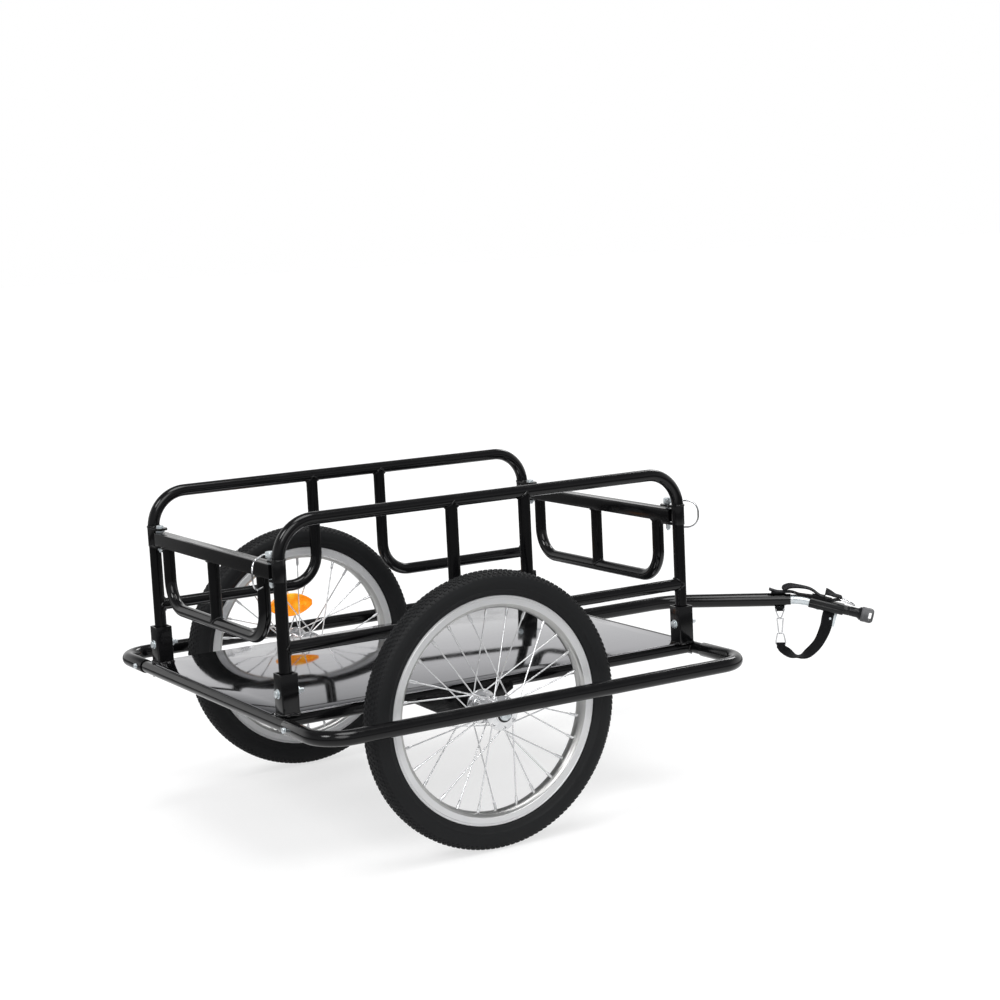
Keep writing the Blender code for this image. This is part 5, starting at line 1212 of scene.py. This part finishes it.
def make_safety_strap():
    """The loop below the joint: it twists on its way from the tab to the snap hook's ring."""
    steps = 8
    route = ((0.0592, -0.0471, 90), (0.0540, -0.0610, 64), (0.0460, -0.0761, 50), (0.0370, -0.0868, 46),
             (0.0264, -0.0957, 37), (0.0162, -0.1006, 8), (0.0075, -0.1004, 0), (-0.0007, -0.0975, 25),
             (-0.0097, -0.0915, 62))
    points = [on_coupler(0.0690, -0.0096), on_coupler(0.0688, -0.0200)] + [at_hitch(s, u) for s, u, _ in route]
    points.append(at_hitch(EYE_S + 0.0020, HOOK_RING - 0.0060, -STRAP_FOLD))
    curve = smooth_path(points, steps)
    degrees = smooth_path([90, 90] + [angle for _, _, angle in route] + [90], steps)
    across = twisted(curve, [-angle for angle in degrees])
    widths = smooth_path([STRAP_WIDTH] * (len(points) - 4) + [0.0190, 0.0175, 0.0155, 0.0140], steps)
    fold = [at_hitch(EYE_S, HOOK_RING + STRAP_FOLD * sine, -STRAP_FOLD * cosine)
            for sine, cosine in HALF_ROUND]
    fold.append(at_hitch(EYE_S, HOOK_RING - 0.0070, STRAP_FOLD))
    strap = sew_strap("safety_webbing", curve + fold, across + [HEADING] * len(fold), widths + [0.0140] * len(fold))
    finish(strap, "webbing", "frame", "safety_strap", smooth=50)
    stitches = []
    for offset in (-0.0080, 0.0080):
        for rise in (-STRAP / 2, STRAP / 2):
            stitches += stitch_rows(curve[2:18], across[2:18], offset, rise)
    finish(join("safety_stitches", stitches), "thread", "frame", smooth=30)


def make_fittings():
    """The snap hook of bent wire, the ring in the strap's fold and the riveted tab."""

    def wire_loop(name, top, bottom, top_half, bottom_half, bend):
        middle = at_hitch(EYE_S, top)
        corners = [middle, at_hitch(EYE_S + top_half, top), at_hitch(EYE_S + bottom_half, bottom),
                   at_hitch(EYE_S - bottom_half, bottom), at_hitch(EYE_S - top_half, top), middle]
        return draw_tube(name, corners, FITTING_WIRE, bend, 12, closed=True, bend_step=18)

    hook = [wire_loop("hook_top", HOOK_TOP, -0.0330, 0.0084, 0.0020, 0.0018),
            wire_loop("hook_body", -0.0324, -0.0600, 0.0054, 0.0030, 0.0027),
            wire_loop("hook_ring", -0.0592, HOOK_RING, 0.0050, 0.0090, 0.0030),
            disc("hook_swivel", at_hitch(EYE_S, -0.0332), UP, 0.0030, 0.0030, 24, 0.0006),
            disc("hook_collar", at_hitch(EYE_S, -0.0594), UP, 0.0034, 0.0026, 24, 0.0006),
            draw_tube("hook_gate", [at_hitch(EYE_S + 0.0046, -0.0365), at_hitch(EYE_S + 0.0026, -0.0575)], 0.0009,
                      sides=12)]
    finish(join("snap_clip", hook), "chrome", "frame", "snap_hook", smooth=50)
    rivet = draw_tube("strap_rivet", [at_hitch(EYE_S, ON_TUBE), at_hitch(EYE_S, -ON_TUBE)], 0.0020, sides=16)
    finish(rivet, "zinc", "frame")
    near, far = on_coupler(*LINK_AT), on_coupler(0.1085, 0.0121)
    half = 0.0122
    # half of the ring from the fold to its narrow end, as (point on its middle line, half width)
    side = [(near, half), (near.lerp(far, 0.55), half), (far, half * 0.35)]
    corners = [near] + [point + SIDEWAYS * wide for point, wide in side]
    corners += [point - SIDEWAYS * wide for point, wide in reversed(side)] + [near]
    ring = draw_tube("strap_link", corners, FITTING_WIRE, [0.003, 0.008, 0.003] * 2, 14, closed=True, bend_step=12)
    finish(ring, "chrome", "frame", "strap_ring", smooth=50)
    tab = refined("strap_tab", "strap_plate", 0.0004, 2)
    rivet_middle, tab_side = on_coupler(0.0735, -0.0205), 0.0013
    pick_faces(tab, lambda middle, normal: (middle - rivet_middle).dot(SIDEWAYS) < -tab_side)
    scale_picked((0.6, 0.6, 0.6), rivet_middle - SIDEWAYS * tab_side)
    finish(tab, "zinc", "frame", "strap_tab", smooth=40)


# Studio

def make_floor():
    """A floor that mirrors white under the trailer and dark further off, and that the camera sees white."""
    only()
    bpy.ops.mesh.primitive_plane_add(size=80, location=(0, 0, 0))
    floor = named("studio_floor")
    ground = Surface("pale floor", Roughness=0.8, Specular_IOR_Level=0.1, Emission_Color=(1.0, 1.0, 1.0))
    pale = ground.mix(ground.noise(ground.place, 1.5, 2.0), (0.44, 0.44, 0.44), (0.46, 0.46, 0.46))
    rays = ground.add("LightPath", {})
    distance = ground.add("VectorMath", {0: ground.place}, operation="LENGTH")["Value"]
    far = ground.math("MULTIPLY", rays["Is Glossy Ray"], ground.spread(distance, 0.8, 1.7))
    near = ground.math("SUBTRACT", rays["Is Glossy Ray"], far)
    lit = ground.mix(rays["Is Camera Ray"], ground.mix(far, pale, (0.10, 0.10, 0.10)), (0.36, 0.36, 0.36))
    seen = ground.math("MULTIPLY", rays["Is Camera Ray"], 0.67)
    glow = ground.math("ADD", seen, ground.math("MULTIPLY", near, 0.40))
    ground.feed(Base_Color=lit, Emission_Strength=glow)
    floor.data.materials.append(ground.material)


def make_room():
    """A dim room with a bright backdrop behind the trailer, white where the camera looks at it."""
    world = bpy.data.worlds.new("studio")
    world.use_nodes = True
    bpy.context.scene.world = world
    room = Nodes(world.node_tree)
    toward = room.add("TexCoord", {})["Generated"]
    behind = room.add("VectorMath", {0: toward, 1: (0.533, 0.846, 0.0)}, operation="DOT_PRODUCT")["Value"]
    low = room.spread(room.split(toward)["Z"], 0.30, 0.62, 1.0, 0.0)
    sheet = room.math("MULTIPLY", low, room.spread(behind, -0.15, 0.25))
    walls = room.mix(low, (0.19, 0.193, 0.20), (0.42, 0.423, 0.43))
    lit = room.mix(sheet, walls, (0.96, 0.96, 0.96))
    seen = room.mix(room.add("LightPath", {})["Is Camera Ray"], lit, (1.0, 1.0, 1.0))
    room.set(world.node_tree.nodes["Background"].inputs["Color"], seen)


def aimed(azimuth, elevation):
    """The direction from the trailer to a light or camera, in degrees from the rear and above the floor."""
    turn, rise = math.radians(azimuth), math.radians(elevation)
    return Vector((math.sin(turn) * math.cos(rise), -math.cos(turn) * math.cos(rise), math.sin(rise)))


def make_lights():
    """Four soft lights: name, azimuth, elevation, strength and angle."""
    for name, azimuth, elevation, strength, angle in (("overhead", 20, 76, 1.5, 34), ("key", -75, 46, 0.9, 18),
                                                      ("rim", 120, 38, 0.5, 16), ("front", -20, 34, 1.0, 34)):
        data = bpy.data.lights.new(name, "SUN")
        data.energy = strength
        data.angle = math.radians(angle)
        lamp = bpy.data.objects.new(name, data)
        bpy.context.scene.collection.objects.link(lamp)
        lamp.rotation_euler = aimed(azimuth, elevation).to_track_quat("Z", "Y").to_euler()


def make_camera():
    """The photograph's point of view, measured from the trailer."""
    data = bpy.data.cameras.new("camera")
    camera = bpy.data.objects.new("camera", data)
    bpy.context.scene.collection.objects.link(camera)
    back, roll = aimed(-32.219, 8.336), math.radians(-2.570)
    right = (-back).cross(UP).normalized()
    up = right.cross(-back)
    rolled = right * math.cos(roll) + up * math.sin(roll)
    upright = -right * math.sin(roll) + up * math.cos(roll)
    camera.matrix_world = (Matrix.Translation(AXLE + Vector((-1.351, -2.598, 0.649)))
                           @ Matrix((rolled, upright, back)).transposed().to_4x4())
    data.lens = 72.4
    data.sensor_width = 36
    data.sensor_fit = "HORIZONTAL"
    data.shift_x = -0.0458
    data.shift_y = 0.0194
    data.clip_end = 200
    bpy.context.scene.camera = camera


def main():
    make_camera()
    for make in (make_surfaces, make_deck_frame, make_sockets, make_axle_mounts, make_side_panels, make_frame_welds,
                 make_gates, make_wheels, make_drawbar, make_coupler, make_coupler_strap, make_safety_strap,
                 make_fittings, make_floor, make_room, make_lights):
        make()
    bpy.context.scene.view_settings.view_transform = "Standard"
    bpy.context.scene.view_settings.look = "None"
    only()


main()
